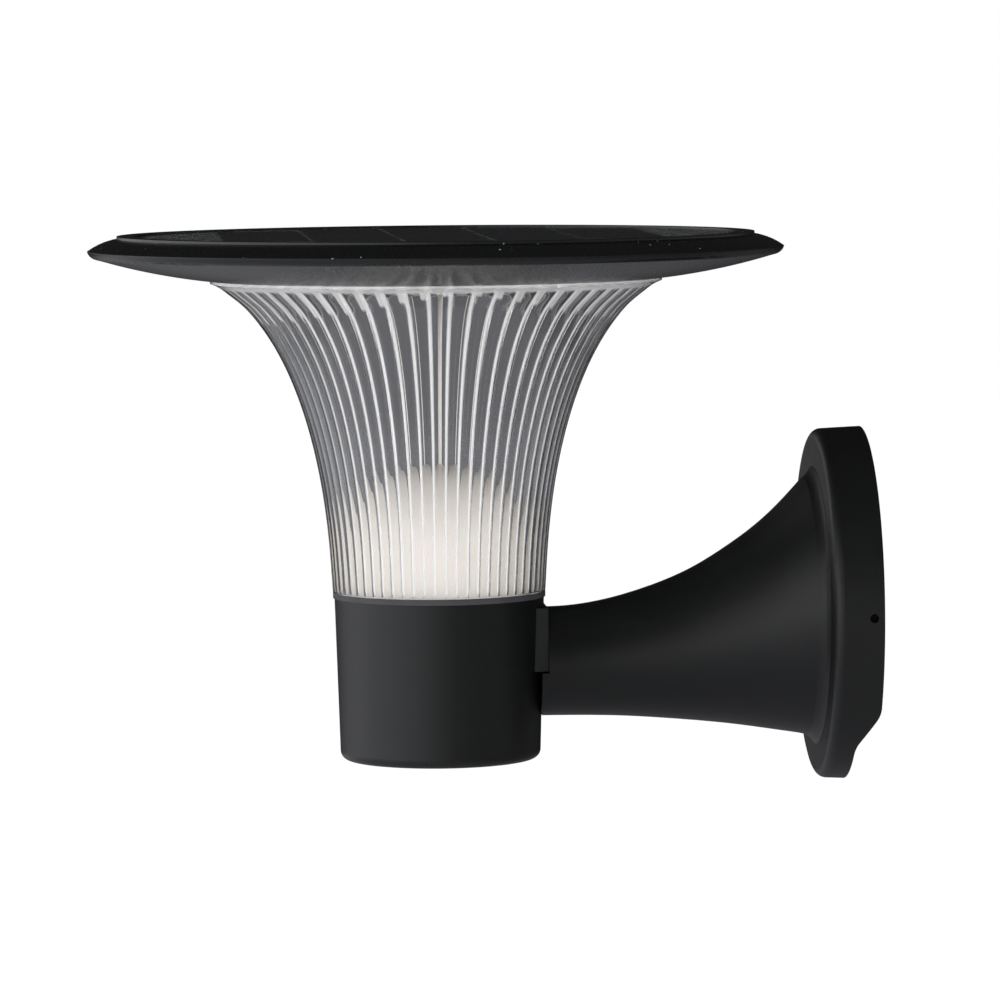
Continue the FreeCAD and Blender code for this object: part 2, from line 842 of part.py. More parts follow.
# Cup
def make_cup_body():
    body = lamp_body("cup_body")
    groove = cup_bore + (S["cup_wall"] - S["foot_seal_width"]) / 2
    groove_end = groove + S["foot_seal_width"]
    groove_floor = rim - S["foot_seal_width"]
    recess = S["cover_radius"] + play
    turned(
        body,
        [
            (recess, base),
            (S["cup_foot_radius"], base),
            (S["cup_radius"], rim),
            (groove_end, rim),
            (groove_end, groove_floor),
            (groove, groove_floor),
            (groove, rim),
            (cup_bore, rim),
            (cup_bore, ledge),
            (S["ledge_bore"], ledge),
            (S["ledge_bore"], ledge_under),
            (cup_bore, ledge_under),
            (foot_bore, floor_top),
            (cover_opening, floor_top),
            (cover_opening, seal_seat),
            (recess, seal_seat),
        ],
    )
    rounded(body, S["cup_edge"], ring_edge(S["cup_foot_radius"], base))
    half = S["pad_width"] / 2
    face = S["pad_reach"]
    root = cup_bore + S["cup_wall"] / 3
    side = root_of(root * root - half * half)
    pad = outline(
        new_sketch(body, "XY_Plane", pad_under),
        [(side, -half), (face, -half), (face, half), (side, half), (root, 0, "arc")],
    )
    raised(body, pad, S["pad_height"])
    seat = outline(
        new_sketch(body, "XY_Plane", arm_screw_z - S["arm_head_radius"] - overrun),
        [(arm_seat, -seat_half), (root, -seat_half), (root, seat_half), (arm_seat, seat_half)],
    )
    raised(body, seat, (S["arm_head_radius"] + overrun) * 2)
    holes = discs(
        new_sketch(body, "YZ_Plane", face + overrun),
        arm_screw_places(),
        S["arm_screw_radius"] + fit,
    )
    sunk(body, holes, face - arm_seat + overrun * 2)
    lugs = raised(
        body,
        discs(
            new_sketch(body, "XY_Plane", seal_seat),
            spots(S["cover_screw_ring"], 1, 1 / 12),
            S["cover_boss_radius"],
        ),
        S["cover_boss_length"],
    )
    repeated(body, lugs, COVER_SCREWS)
    lug_holes = sunk(
        body,
        discs(
            new_sketch(body, "XY_Plane", seal_seat - overrun),
            spots(S["cover_screw_ring"], 1, 1 / 12),
            S["small_screw_radius"] + fit,
        ),
        S["cover_boss_length"] + overrun * 2,
        up=True,
    )
    repeated(body, lug_holes, COVER_SCREWS)
    posts = raised(
        body,
        discs(new_sketch(body, "XY_Plane", board_top), spots(S["post_ring"], 1, 1 / 4), S["post_radius"]),
        S["post_length"] + S["ledge_thickness"] / 2,
    )
    repeated(body, posts, BOARD_SCREWS)
    post_holes = sunk(
        body,
        discs(
            new_sketch(body, "XY_Plane", board_top - overrun),
            spots(S["post_ring"], 1, 1 / 4),
            S["small_screw_radius"] + fit,
        ),
        S["post_length"] + overrun,
        up=True,
    )
    repeated(body, post_holes, BOARD_SCREWS)
    tray_holes = sunk(
        body,
        discs(
            new_sketch(body, "XY_Plane", ledge + overrun),
            spots(tray_screw_ring, 1, 1 / 12),
            S["small_screw_radius"] + fit,
        ),
        S["ledge_thickness"] + overrun * 2,
    )
    repeated(body, tray_holes, TRAY_SCREWS)


def make_bottom_cover():
    body = lamp_body("bottom_cover")
    tube = guide_bore + S["guide_wall"]
    hole = S["button_radius"] + S["button_play"]
    turned(
        body,
        [
            (hole, base),
            (S["cover_radius"], base),
            (S["cover_radius"], cover_inside),
            (tube, cover_inside),
            (tube, switch_under),
            (guide_bore, switch_under),
            (guide_bore, cover_inside),
            (hole, cover_inside),
        ],
    )
    posts = [
        (S["holder_post_x"] * side_x, S["holder_post_y"] * side_y)
        for side_x in (-1, 1)
        for side_y in (-1, 1)
    ]
    raised(
        body,
        discs(new_sketch(body, "XY_Plane", cover_inside), posts, S["holder_post_radius"]),
        holder_under - cover_inside,
    )
    holes = sunk(
        body,
        discs(
            new_sketch(body, "XY_Plane", base - overrun),
            spots(S["cover_screw_ring"], 1, 1 / 12),
            S["small_screw_radius"] + fit,
        ),
        S["cover_thickness"] + overrun * 2,
        up=True,
    )
    repeated(body, holes, COVER_SCREWS)
    heads = sunk(
        body,
        discs(
            new_sketch(body, "XY_Plane", base - overrun),
            spots(S["cover_screw_ring"], 1, 1 / 12),
            S["small_head_radius"] + fit,
        ),
        S["small_head_height"] + overrun,
        up=True,
    )
    repeated(body, heads, COVER_SCREWS)


def flat_ring(label, inner, width, z, height):
    body = lamp_body(label)
    outer = inner + width
    turned(body, [(inner, z), (outer, z), (outer, z + height), (inner, z + height)])


def make_cover_screws():
    seat = base + S["small_head_height"]
    length = S["cover_thickness"] + S["cover_boss_length"] / 2
    things = [
        screw("small", length, x, y, seat)
        for x, y in at_lamp(spots(S["cover_screw_ring"], COVER_SCREWS, 1 / 12))
    ]
    grouped("cover_screws", things)


def make_switch():
    body = lamp_body("power_button")
    turned(
        body,
        [
            (0, base - S["button_proud"]),
            (S["button_radius"], base - S["button_proud"]),
            (S["button_radius"], flange_seat),
            (flange_radius, flange_seat),
            (flange_radius, flange_top),
            (0, flange_top),
        ],
    )
    proud = ring_edge(S["button_radius"], base - S["button_proud"])
    rounded(body, S["button_proud"] / 2, proud)
    plunger = lamp_body("switch_plunger")
    plunger_top = flange_top + S["plunger_length"]
    radius = S["plunger_radius"]
    turned(plunger, [(0, flange_top), (radius, flange_top), (radius, plunger_top), (0, plunger_top)])
    body = lamp_body("switch_body")
    half = S["switch_width"] / 2
    square = [(-half, -half), (half, -half), (half, half), (-half, half)]
    raised(body, outline(new_sketch(body, "XY_Plane", switch_under), square), S["switch_height"])
    bore = discs(
        new_sketch(body, "XY_Plane", switch_under - overrun), [(0, 0)], radius + S["button_play"]
    )
    depth = S["plunger_length"] - S["switch_gap"] - S["stop_gap"]
    sunk(body, bore, depth + overrun * 2, up=True)
    board = block(
        S["switch_board_width"],
        S["switch_board_width"],
        S["board_thickness"],
        lamp_x,
        Size("0", 0.0),
        switch_top,
    )
    node(board, "switch_board")


# Battery and electronics
def make_battery():
    along = Rotation(Vector(0, 0, 1), Vector(0, 1, 0))
    half = S["cell_length"] / 2
    can_length = S["cell_length"] - S["cell_button_height"]
    can = cylinder(S["cell_radius"], can_length, lamp_x, -half, cell_height, along)
    button = cylinder(
        S["cell_button_radius"],
        S["cell_button_height"],
        lamp_x,
        half - S["cell_button_height"],
        cell_height,
        along,
    )
    node(fused([can, button]), "battery_cell")
    inner = half + S["contact_thickness"]
    outer = inner + S["holder_wall"]
    side = S["cell_radius"] + play + S["holder_wall"]
    shell = block(side * 2, outer * 2, cell_height - holder_under, lamp_x, centre_y, holder_under)
    room = cylinder(S["cell_radius"] + play, inner * 2, lamp_x, -inner, cell_height, along)
    node(cut_from(shell, [room]), "battery_holder")
    plates = []
    for start in (-inner, half):
        plates.append(
            cylinder(S["cell_radius"] / 2, S["contact_thickness"], lamp_x, start, cell_height, along)
        )
    grouped("battery_contacts", plates)


def make_controller():
    body = lamp_body("controller_board")
    raised(
        body,
        discs(new_sketch(body, "XY_Plane", board_under), [(0, 0)], S["board_radius"]),
        S["board_thickness"],
    )
    holes = sunk(
        body,
        discs(
            new_sketch(body, "XY_Plane", board_under - overrun),
            spots(S["post_ring"], 1, 1 / 4),
            S["small_screw_radius"] + fit,
        ),
        S["board_thickness"] + overrun * 2,
        up=True,
    )
    repeated(body, holes, BOARD_SCREWS)
    room = board_under - cell_height - S["cell_radius"]
    width = S["board_radius"]
    parts = (
        # place shares across and along the board, size shares of the board and of the height below
        (-0.45, 0.15, 0.28, 0.22, 0.55),
        (0.35, 0.35, 0.30, 0.30, 0.70),
        (0.10, -0.40, 0.45, 0.16, 0.60),
        (-0.40, -0.30, 0.20, 0.20, 0.40),
    )
    chips = []
    for x_share, y_share, long_share, wide_share, tall_share in parts:
        tall = room * tall_share
        chips.append(
            block(
                width * long_share,
                width * wide_share,
                tall,
                lamp_x + width * x_share,
                width * y_share,
                board_under - tall,
            )
        )
    grouped("board_parts", chips)
    length = S["board_thickness"] + S["post_length"] - overrun
    things = [
        screw("small", length, x, y, board_under)
        for x, y in at_lamp(spots(S["post_ring"], BOARD_SCREWS, 1 / 4))
    ]
    grouped("board_screws", things)


# Light source
def make_tray():
    body = lamp_body("led_tray")
    hole = S["lead_hole"] / 2
    turned(
        body,
        [(hole, tray_under), (tray_radius, tray_under), (tray_radius, tray_top), (hole, tray_top)],
    )
    holes = sunk(
        body,
        discs(
            new_sketch(body, "XY_Plane", tray_under - overrun),
            spots(tray_screw_ring, 1, 1 / 12),
            S["small_screw_radius"] + fit,
        ),
        S["tray_thickness"] + overrun * 2,
        up=True,
    )
    repeated(body, holes, TRAY_SCREWS)
    length = S["tray_thickness"] + S["lens_inner_flange"] + S["ledge_thickness"]
    down = Rotation(Vector(1, 0, 0), 180)
    things = [
        screw("small", length, x, y, tray_top, down)
        for x, y in at_lamp(spots(tray_screw_ring, TRAY_SCREWS, 1 / 12))
    ]
    grouped("tray_screws", things)


def make_led_board():
    body = lamp_body("led_board")
    hole = S["lead_hole"] / 2
    radius = S["led_board_radius"]
    turned(
        body,
        [(hole, tray_top), (radius, tray_top), (radius, led_board_top), (hole, led_board_top)],
    )
    chips = []
    rings = ((S["led_outer_ring"], OUTER_LED_COUNT), (S["led_inner_ring"], INNER_LED_COUNT))
    for ring, count in rings:
        for x, y in at_lamp(spots(ring, count)):
            chips.append(
                block(S["led_width"], S["led_length"], S["led_height"], x, y, led_board_top)
            )
    grouped("led_chips", chips)


def make_dome():
    """An opal bell: a straight skirt under a cap of elliptical section, with the lead's hole on top."""
    made = node(doc.addObject("Part::Feature", "dome_shape"), "dome_diffuser")
    foot = tray_top.value
    waist = foot + S["dome_waist"].value
    hole = lead_radius.value + play.value

    def bell(shrink):
        across = S["dome_radius"].value - shrink
        up = S["dome_cap"].value - shrink
        curve = Part.Ellipse(Vector(0, 0, 0), max(across, up), min(across, up))
        quarter = curve.toShape(0, math.pi / 2)
        if up > across:
            quarter.rotate(Vector(0, 0, 0), Vector(0, 0, 1), 90)
            quarter = quarter.mirror(Vector(0, 0, 0), Vector(1, 0, 0))
        quarter.rotate(Vector(0, 0, 0), Vector(1, 0, 0), 90)
        quarter.translate(Vector(0, 0, waist))
        skirt = Part.LineSegment(Vector(across, 0, foot), Vector(across, 0, waist)).toShape()
        floor = Part.LineSegment(Vector(0, 0, foot), Vector(across, 0, foot)).toShape()
        middle_line = Part.LineSegment(Vector(0, 0, foot), Vector(0, 0, waist + up)).toShape()
        wire = Part.Wire(Part.sortEdges([floor, skirt, quarter, middle_line])[0])
        return Part.Face(wire).revolve(Vector(0, 0, 0), Vector(0, 0, 1), 360)

    through = Part.makeCylinder(hole, waist + S["dome_cap"].value, Vector(0, 0, foot))
    made.Shape = bell(0).cut(bell(S["dome_wall"].value)).cut(through)
    place(made, lamp_x)


# Lens
def lens_profile():
    """Outer wall of the lens as a smooth curve in the XZ plane, from foot to neck."""
    height = S["lens_height"].value - S["lens_foot_band"].value
    step = S["lens_neck_radius"].value - S["lens_foot_radius"].value
    start = rim.value + S["lens_foot_band"].value
    points = [
        Vector(S["lens_foot_radius"].value + step * out, 0, start + height * up)
        for up, out in LENS_SHARES
    ]
    curve = Part.BSplineCurve()
    curve.interpolate(points)
    return curve, points


def inner_points(curve, points):
    """Points of the inner wall, square to the outer wall at each of its points."""
    found = []
    for point in points:
        along = curve.tangent(curve.parameter(point))[0]
        found.append(point + Vector(-along.z, 0, along.x) * S["lens_wall"].value)
    return found


def ribbed_section(radius, height):
    """A closed wire of arcs: the backs of round ribs that stand on a circle and touch side by side."""
    turn = math.tau / RIBS
    depth = turn * radius * RIB_DEPTH_SHARE

    def at(distance, angle):
        return Vector(distance * math.cos(angle), distance * math.sin(angle), height)

    arcs = []
    for i in range(RIBS):
        start = turn * (i + 0.5)
        ends = at(radius + depth, start), at(radius, start + turn / 2), at(radius + depth, start + turn)
        arcs.append(Part.Arc(*ends).toShape())
    return Part.Wire(arcs)


def make_lens():
    """A trumpet smooth outside and ribbed inside, with a flange at its neck and a spigot at its foot."""
    curve, points = lens_profile()
    inner = inner_points(curve, points)
    foot, top = rim.value, lens_top.value
    neck_radius = S["lens_neck_radius"].value
    cup_edge_radius = S["cup_radius"].value
    low = ledge.value
    spigot, bore = spigot_radius.value, spigot_bore.value
    corners = [
        Vector(neck_radius, 0, neck.value),
        Vector(neck_radius, 0, top),
        Vector(0, 0, top),
        Vector(0, 0, low),
        Vector(spigot, 0, low),
        Vector(spigot, 0, foot),
        Vector(cup_edge_radius, 0, foot),
        points[0],
    ]
    edges = [curve.toShape()]
    edges += [Part.LineSegment(a, b).toShape() for a, b in zip(corners, corners[1:])]
    solid = Part.Face(Part.Wire(edges)).revolve(Vector(0, 0, 0), Vector(0, 0, 1), 360)
    land = S["rib_land"].value
    end_height = top - S["crown_land"].value
    sections = [ribbed_section(point.x, point.z) for point in inner if point.z < end_height]
    hollow = Part.makeLoft(sections, True, False)
    last = [point for point in inner if point.z < end_height][-1]
    rib_depth = math.tau / RIBS * last.x * RIB_DEPTH_SHARE
    crown_bore = last.x + rib_depth + land
    crown_start = last.z - fit.value
    crown = Part.makeCylinder(crown_bore, top - crown_start, Vector(0, 0, crown_start))
    for x, y in spots(neck_screw_ring, NECK_SCREWS):
        spot = Vector(x.value, y.value, crown_start)
        crown = crown.cut(Part.makeCylinder(S["neck_ear_radius"].value, top - crown_start, spot))
    drop = inner[0].z + overrun.value - tray_under.value
    throat = Part.makeCylinder(bore, drop, Vector(0, 0, tray_under.value))
    ring = Part.makeCylinder(
        S["ledge_bore"].value + land, tray_under.value - low + overrun.value, Vector(0, 0, low)
    )
    shape = solid.cut(hollow).cut(crown).cut(throat).cut(ring)
    small = S["small_screw_radius"].value + fit.value
    depth = top - neck.value
    for x, y in spots(neck_screw_ring, NECK_SCREWS):
        shape = shape.cut(Part.makeCylinder(small, depth, Vector(x.value, y.value, top - depth)))
    for x, y in spots(tray_screw_ring, TRAY_SCREWS, 1 / 12):
        shape = shape.cut(Part.makeCylinder(small, tray_under.value - low, Vector(x.value, y.value, low)))
    made = node(doc.addObject("Part::Feature", "lens_shape"), "lens")
    made.Shape = shape
    place(made, lamp_x)


# Head
def underside(top_shift):
    """Corner by the lens socket, bend and corner by the tip of the saucer, raised by a shift."""
    inner = (socket_radius, neck + S["neck_lift"] + top_shift)
    outer = (S["head_radius"] - S["tip_width"], parting - S["tip_drop"] + top_shift)
    return inner, middle(inner, outer, UNDERSIDE_SHARES), outer


def make_lower_shell():
    body = lamp_body("lower_shell")
    inner, bend, outer = underside(0)
    tip = (S["head_radius"], parting)
    land = S["head_radius"] - S["land_width"]
    raised_inner, _, raised_outer = underside(S["shell_wall"])
    socket = socket_radius + S["socket_wall"]
    hole = grommet_neck() + fit
    groove = land + (S["land_width"] - S["tip_width"] - S["shell_seal_width"]) / 2
    groove_end = groove + S["shell_seal_width"]
    groove_floor = parting - S["shell_seal_height"]
    inner_start = (socket, raised_inner[1] + S["shell_wall"] / 4)
    inner_end = (land, raised_outer[1] - S["shell_wall"] / 2)
    turned(
        body,
        [
            (hole, floor_under),
            (socket_radius, floor_under),
            inner,
            bend,
            outer,
            middle(outer, tip, TIP_SHARES),
            tip,
            (groove_end, parting),
            (groove_end, groove_floor),
            (groove, groove_floor),
            (groove, parting),
            (land, parting),
            inner_end,
            middle(inner_end, inner_start, (1 - UNDERSIDE_SHARES[0], 1 - UNDERSIDE_SHARES[1])),
            inner_start,
            (socket, shell_floor_top),
            (hole, shell_floor_top),
        ],
    )
    pillars = raised(
        body,
        discs(
            new_sketch(body, "XY_Plane", shell_boss_foot()),
            spots(shell_screw_ring, 1),
            S["shell_boss_radius"],
        ),
        seat_under - shell_boss_foot(),
    )
    repeated(body, pillars, SHELL_SCREWS)
    holes = sunk(
        body,
        discs(
            new_sketch(body, "XY_Plane", shell_boss_foot()),
            spots(shell_screw_ring, 1),
            S["small_screw_radius"] + fit,
        ),
        seat_under - shell_boss_foot() + overrun,
        up=True,
    )
    repeated(body, holes, SHELL_SCREWS)
    neck_holes = sunk(
        body,
        discs(
            new_sketch(body, "XY_Plane", floor_under - overrun),
            spots(neck_screw_ring, 1),
            S["small_screw_radius"] + fit,
        ),
        S["shell_floor"] + overrun * 2,
        up=True,
    )
    repeated(body, neck_holes, NECK_SCREWS)


def shell_boss_foot():
    """Floor of the pilot holes in the lower shell's bosses, above the underside by its own wall."""
    _, bend, _ = underside(0)
    return bend[1] + S["shell_boss_sink"]


def shell_head_seat():
    """Height where the heads of the shell screws seat, sunk below the panel."""
    return panel_under - S["small_head_height"] - fit


def make_shell_screws():
    down = Rotation(Vector(1, 0, 0), 180)
    length = shell_head_seat() - shell_boss_foot() - fit
    things = [
        screw("small", length, x, y, shell_head_seat(), down)
        for x, y in at_lamp(spots(shell_screw_ring, SHELL_SCREWS))
    ]
    grouped("shell_screws", things)


def make_neck_screws():
    down = Rotation(Vector(1, 0, 0), 180)
    length = shell_floor_top - neck - overrun
    things = [
        screw("small", length, x, y, shell_floor_top, down)
        for x, y in at_lamp(spots(neck_screw_ring, NECK_SCREWS))
    ]
    grouped("neck_screws", things)


def make_top_shell():
    body = lamp_body("top_shell")
    tip = (S["head_radius"], parting)
    shoulder = (ring_radius, ring_top - S["ring_step"])
    wall = panel_bore + S["shell_wall"]
    hollow_top = ring_top - S["ring_step"] - S["shell_wall"]
    hollow_end = S["head_radius"] - S["land_width"] + S["shell_wall"] / 2
    turned(
        body,
        [
            tip,
            middle(tip, shoulder, CROWN_SHARES),
            shoulder,
            (ring_radius, ring_top),
            (panel_bore, ring_top),
            (panel_bore, panel_under),
            (seat_bore, panel_under),
            (seat_bore, seat_under),
            (wall, seat_under),
            (wall, hollow_top),
            (ring_radius, hollow_top),
            (hollow_end, parting),
        ],
    )
    holes = sunk(
        body,
        discs(
            new_sketch(body, "XY_Plane", seat_under - overrun),
            spots(shell_screw_ring, 1),
            S["small_screw_radius"] + fit,
        ),
        S["seat_thickness"] + overrun * 2,
        up=True,
    )
    repeated(body, holes, SHELL_SCREWS)
    heads = sunk(
        body,
        discs(
            new_sketch(body, "XY_Plane", shell_head_seat()),
            spots(shell_screw_ring, 1),
            S["small_head_radius"] + fit,
        ),
        S["small_head_height"] + overrun,
        up=True,
    )
    repeated(body, heads, SHELL_SCREWS)


def make_panel():
    glass = cylinder(glass_radius, S["glass_thickness"], lamp_x, 0, glass_under)
    node(glass, "panel_glass")
    board_radius = glass_radius - S["cell_margin"] / 2
    board = cylinder(board_radius, S["board_thickness"], lamp_x, 0, panel_under)
    node(board, "panel_board")
    seal_width = S["cell_margin"] / 2 - fit
    flat_ring("panel_seal", board_radius + fit, seal_width, panel_under, glass_under - panel_under)
    strips = []
    pitch = S["cell_column"] + S["cell_gap"]
    reach = board_radius - S["cell_margin"] / 2
    columns = int(reach.value / pitch.value)
    for column in range(-columns, columns + 1):
        middle_x = pitch * column
        edge = pitch * abs(column) + S["cell_column"] / 2
        if edge.value >= reach.value:
            continue
        half = root_of(reach * reach - edge * edge)
        for side in (-1, 1):
            strips.append(
                block(
                    S["cell_column"],
                    half - S["cell_gap"] / 2,
                    S["cell_thickness"],
                    lamp_x + middle_x,
                    (half / 2 + S["cell_gap"] / 4) * side,
                    panel_top,
                )
            )
    grouped("solar_cells", strips)
    side = S["terminal_width"]
    terminal = block(side, side, S["terminal_height"], lamp_x, centre_y, panel_under - S["terminal_height"])
    node(terminal, "panel_terminal")


def grommet_neck():
    return S["grommet_radius"] - S["grommet_lip"]


def make_lead():
    top = panel_under - S["terminal_height"]
    lead = cylinder(lead_radius, top - board_top, lamp_x, 0, board_top)
    node(lead, "panel_lead")
    body = lamp_body("lead_grommet")
    inner = lead_radius + fit
    outer, lip = S["grommet_radius"], S["grommet_lip"]
    groove = grommet_neck()
    turned(
        body,
        [
            (inner, floor_under - lip),
            (outer, floor_under - lip),
            (outer, floor_under),
            (groove, floor_under),
            (groove, shell_floor_top),
            (outer, shell_floor_top),
            (outer, shell_floor_top + lip),
            (inner, shell_floor_top + lip),
        ],
    )


def make_all():
    make_wall_plate()
    make_plate_screws()
    make_wall_bracket()
    make_side_screws()
    make_arm()
    make_arm_screws()
    make_cup_body()
    make_bottom_cover()
    seal_inner = cover_opening + (S["cover_ledge"] - S["cover_seal_width"]) / 2
    flat_ring("cover_seal", seal_inner, S["cover_seal_width"], cover_inside, S["cover_seal_thickness"])
    make_cover_screws()
    make_switch()
    make_battery()
    make_controller()
    make_tray()
    make_led_board()
    make_dome()
    make_lens()
    groove = cup_bore + (S["cup_wall"] - S["foot_seal_width"]) / 2
    flat_ring("foot_seal", groove, S["foot_seal_width"], rim - S["foot_seal_width"], S["foot_seal_width"])
    neck_seal_inner = S["lens_neck_radius"] - S["neck_seal_width"]
    flat_ring("neck_seal", neck_seal_inner, S["neck_seal_width"], lens_top, S["neck_seal_thickness"])
    make_lower_shell()
    make_shell_screws()
    make_neck_screws()
    make_top_shell()
    land = S["head_radius"] - S["land_width"]
    groove = land + (S["land_width"] - S["tip_width"] - S["shell_seal_width"]) / 2
    seal_height = S["shell_seal_height"]
    flat_ring("shell_seal", groove, S["shell_seal_width"], parting - seal_height, seal_height)
    make_panel()
    make_lead()


def export_all():
    """Checks every object and sub-part, then writes each sub-part to its own file."""
    doc.recompute()
    for thing in doc.Objects:
        if "Invalid" in thing.State or "Error" in thing.State:
            raise RuntimeError(f"{thing.Label} did not compute: {thing.State}")
    os.makedirs("parts", exist_ok=True)
    for thing in nodes:
        shape = thing.Shape
        if shape.isNull() or not shape.isValid() or not shape.Solids:
            raise RuntimeError(f"{thing.Label} has no valid solid")
        print(f"{thing.Label}: {len(shape.Solids)} solids, {shape.Volume:.0f} mm3")
        shape.exportStep(f"parts/{thing.Label}.step")


make_all()
export_all()
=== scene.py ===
import math

import bpy
import numpy as np
from mathutils import Matrix, Vector


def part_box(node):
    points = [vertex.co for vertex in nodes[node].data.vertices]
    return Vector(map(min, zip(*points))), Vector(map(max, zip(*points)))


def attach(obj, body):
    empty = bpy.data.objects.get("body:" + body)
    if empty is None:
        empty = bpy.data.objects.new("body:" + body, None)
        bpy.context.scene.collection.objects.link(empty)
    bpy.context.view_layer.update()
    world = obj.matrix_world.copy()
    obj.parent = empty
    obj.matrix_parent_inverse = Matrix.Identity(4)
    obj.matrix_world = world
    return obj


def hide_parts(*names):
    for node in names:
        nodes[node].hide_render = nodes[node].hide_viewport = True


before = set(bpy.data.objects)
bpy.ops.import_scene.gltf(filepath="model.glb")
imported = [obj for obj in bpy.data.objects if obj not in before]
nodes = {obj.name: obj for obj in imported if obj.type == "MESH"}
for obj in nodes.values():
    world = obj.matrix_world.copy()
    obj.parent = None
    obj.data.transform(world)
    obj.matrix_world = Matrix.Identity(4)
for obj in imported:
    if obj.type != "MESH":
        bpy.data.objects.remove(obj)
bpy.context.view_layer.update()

MM = 0.001
LAMP_X = sum(corner[0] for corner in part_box("panel_lead")) / 2  # the lens's axis


def linear(code):
    """sRGB hex to the linear colour that shaders take."""
    parts = [int(code[i : i + 2], 16) / 255 for i in (1, 3, 5)]
    return [c / 12.92 if c <= 0.04045 else ((c + 0.055) / 1.055) ** 2.4 for c in parts] + [1.0]


def add_node(tree, kind, settings=None, inputs=None):
    """Adds a node with its settings, its input values and its links."""
    made = tree.nodes.new(kind)
    for name, value in (settings or {}).items():
        setattr(made, name, value)
    for key, value in (inputs or {}).items():
        if isinstance(value, bpy.types.Node):
            value = value.outputs[0]
        if isinstance(value, bpy.types.NodeSocket):
            tree.links.new(value, made.inputs[key])
        else:
            made.inputs[key].default_value = value
    return made


def new_finish(name, plain):
    """A material that ends in one Principled shader: its tree, the shader and the Object coordinates."""
    made = bpy.data.materials.new(name)
    made.use_nodes = True
    tree = made.node_tree
    tree.nodes.clear()
    surface = add_node(tree, "ShaderNodeBsdfPrincipled", inputs=plain)
    output = add_node(tree, "ShaderNodeOutputMaterial", inputs={"Surface": surface})
    place = add_node(tree, "ShaderNodeTexCoord").outputs["Object"]
    return made, tree, surface, output, place


# Materials

EDGE_SAMPLES = 6
MOULDED_EDGE = 0.3 * MM
MOULDED_FLOW = 9 * MM  # size of the faint clouds of tone
MOULDED_RELIEF = 0.8
GLOSS_SWING = 0.04  # up and down from a finish's roughness
SPECK_SPACING = 3.2 * MM
SPECK_REACH = 0.12  # of the spacing
DUST_PATCH = 26 * MM
DUST_SHIFT = (0.03, 0.0, 0.0)  # where the dusty patches lie on the head
DUST_GREY = "#8C8E8A"


def moulded(name, dark, pale, rough, grain, depth, ior=1.5, dust=0.0):
    """Moulded or extruded plastic and rubber: two close tones, the skin the tool left, soft edges."""
    made, tree, surface, _, place = new_finish(name, {"IOR": ior})
    skin = add_node(
        tree, "ShaderNodeTexNoise", inputs={"Vector": place, "Scale": 1 / grain, "Detail": 3.0}
    )
    flow = add_node(
        tree, "ShaderNodeTexNoise", inputs={"Vector": place, "Scale": 1 / MOULDED_FLOW, "Detail": 2.0}
    )
    tone = add_node(
        tree,
        "ShaderNodeMix",
        {"data_type": "RGBA"},
        {"Factor": flow, 6: linear(dark), 7: linear(pale)},
    )
    gloss = add_node(
        tree,
        "ShaderNodeMapRange",
        inputs={"Value": skin, "To Min": rough - GLOSS_SWING, "To Max": rough + GLOSS_SWING},
    )
    round_edge = add_node(tree, "ShaderNodeBevel", {"samples": EDGE_SAMPLES}, {"Radius": MOULDED_EDGE})
    relief = add_node(
        tree,
        "ShaderNodeBump",
        inputs={
            "Height": skin,
            "Distance": depth,
            "Strength": MOULDED_RELIEF,
            "Normal": round_edge,
        },
    )
    colour, roughness = tone.outputs[2], gloss.outputs[0]
    if dust:
        speck = add_node(
            tree, "ShaderNodeTexVoronoi", inputs={"Vector": place, "Scale": 1 / SPECK_SPACING}
        )
        close = add_node(
            tree,
            "ShaderNodeMath",
            {"operation": "LESS_THAN"},
            {0: speck.outputs["Distance"], 1: SPECK_REACH},
        )
        shifted = add_node(tree, "ShaderNodeMapping", inputs={"Vector": place, "Location": DUST_SHIFT})
        patch = add_node(
            tree, "ShaderNodeTexNoise", inputs={"Vector": shifted, "Scale": 1 / DUST_PATCH}
        )
        here = add_node(
            tree, "ShaderNodeMath", {"operation": "GREATER_THAN"}, {0: patch, 1: 1 - dust}
        )
        share = add_node(tree, "ShaderNodeMath", {"operation": "MULTIPLY"}, {0: close, 1: here})
        dusty = add_node(
            tree, "ShaderNodeMix", {"data_type": "RGBA"}, {"Factor": share, 6: colour, 7: linear(DUST_GREY)}
        )
        colour = dusty.outputs[2]
    tree.links.new(colour, surface.inputs["Base Color"])
    tree.links.new(roughness, surface.inputs["Roughness"])
    tree.links.new(relief.outputs[0], surface.inputs["Normal"])
    return made


RIPPLE_RELIEF = 0.3


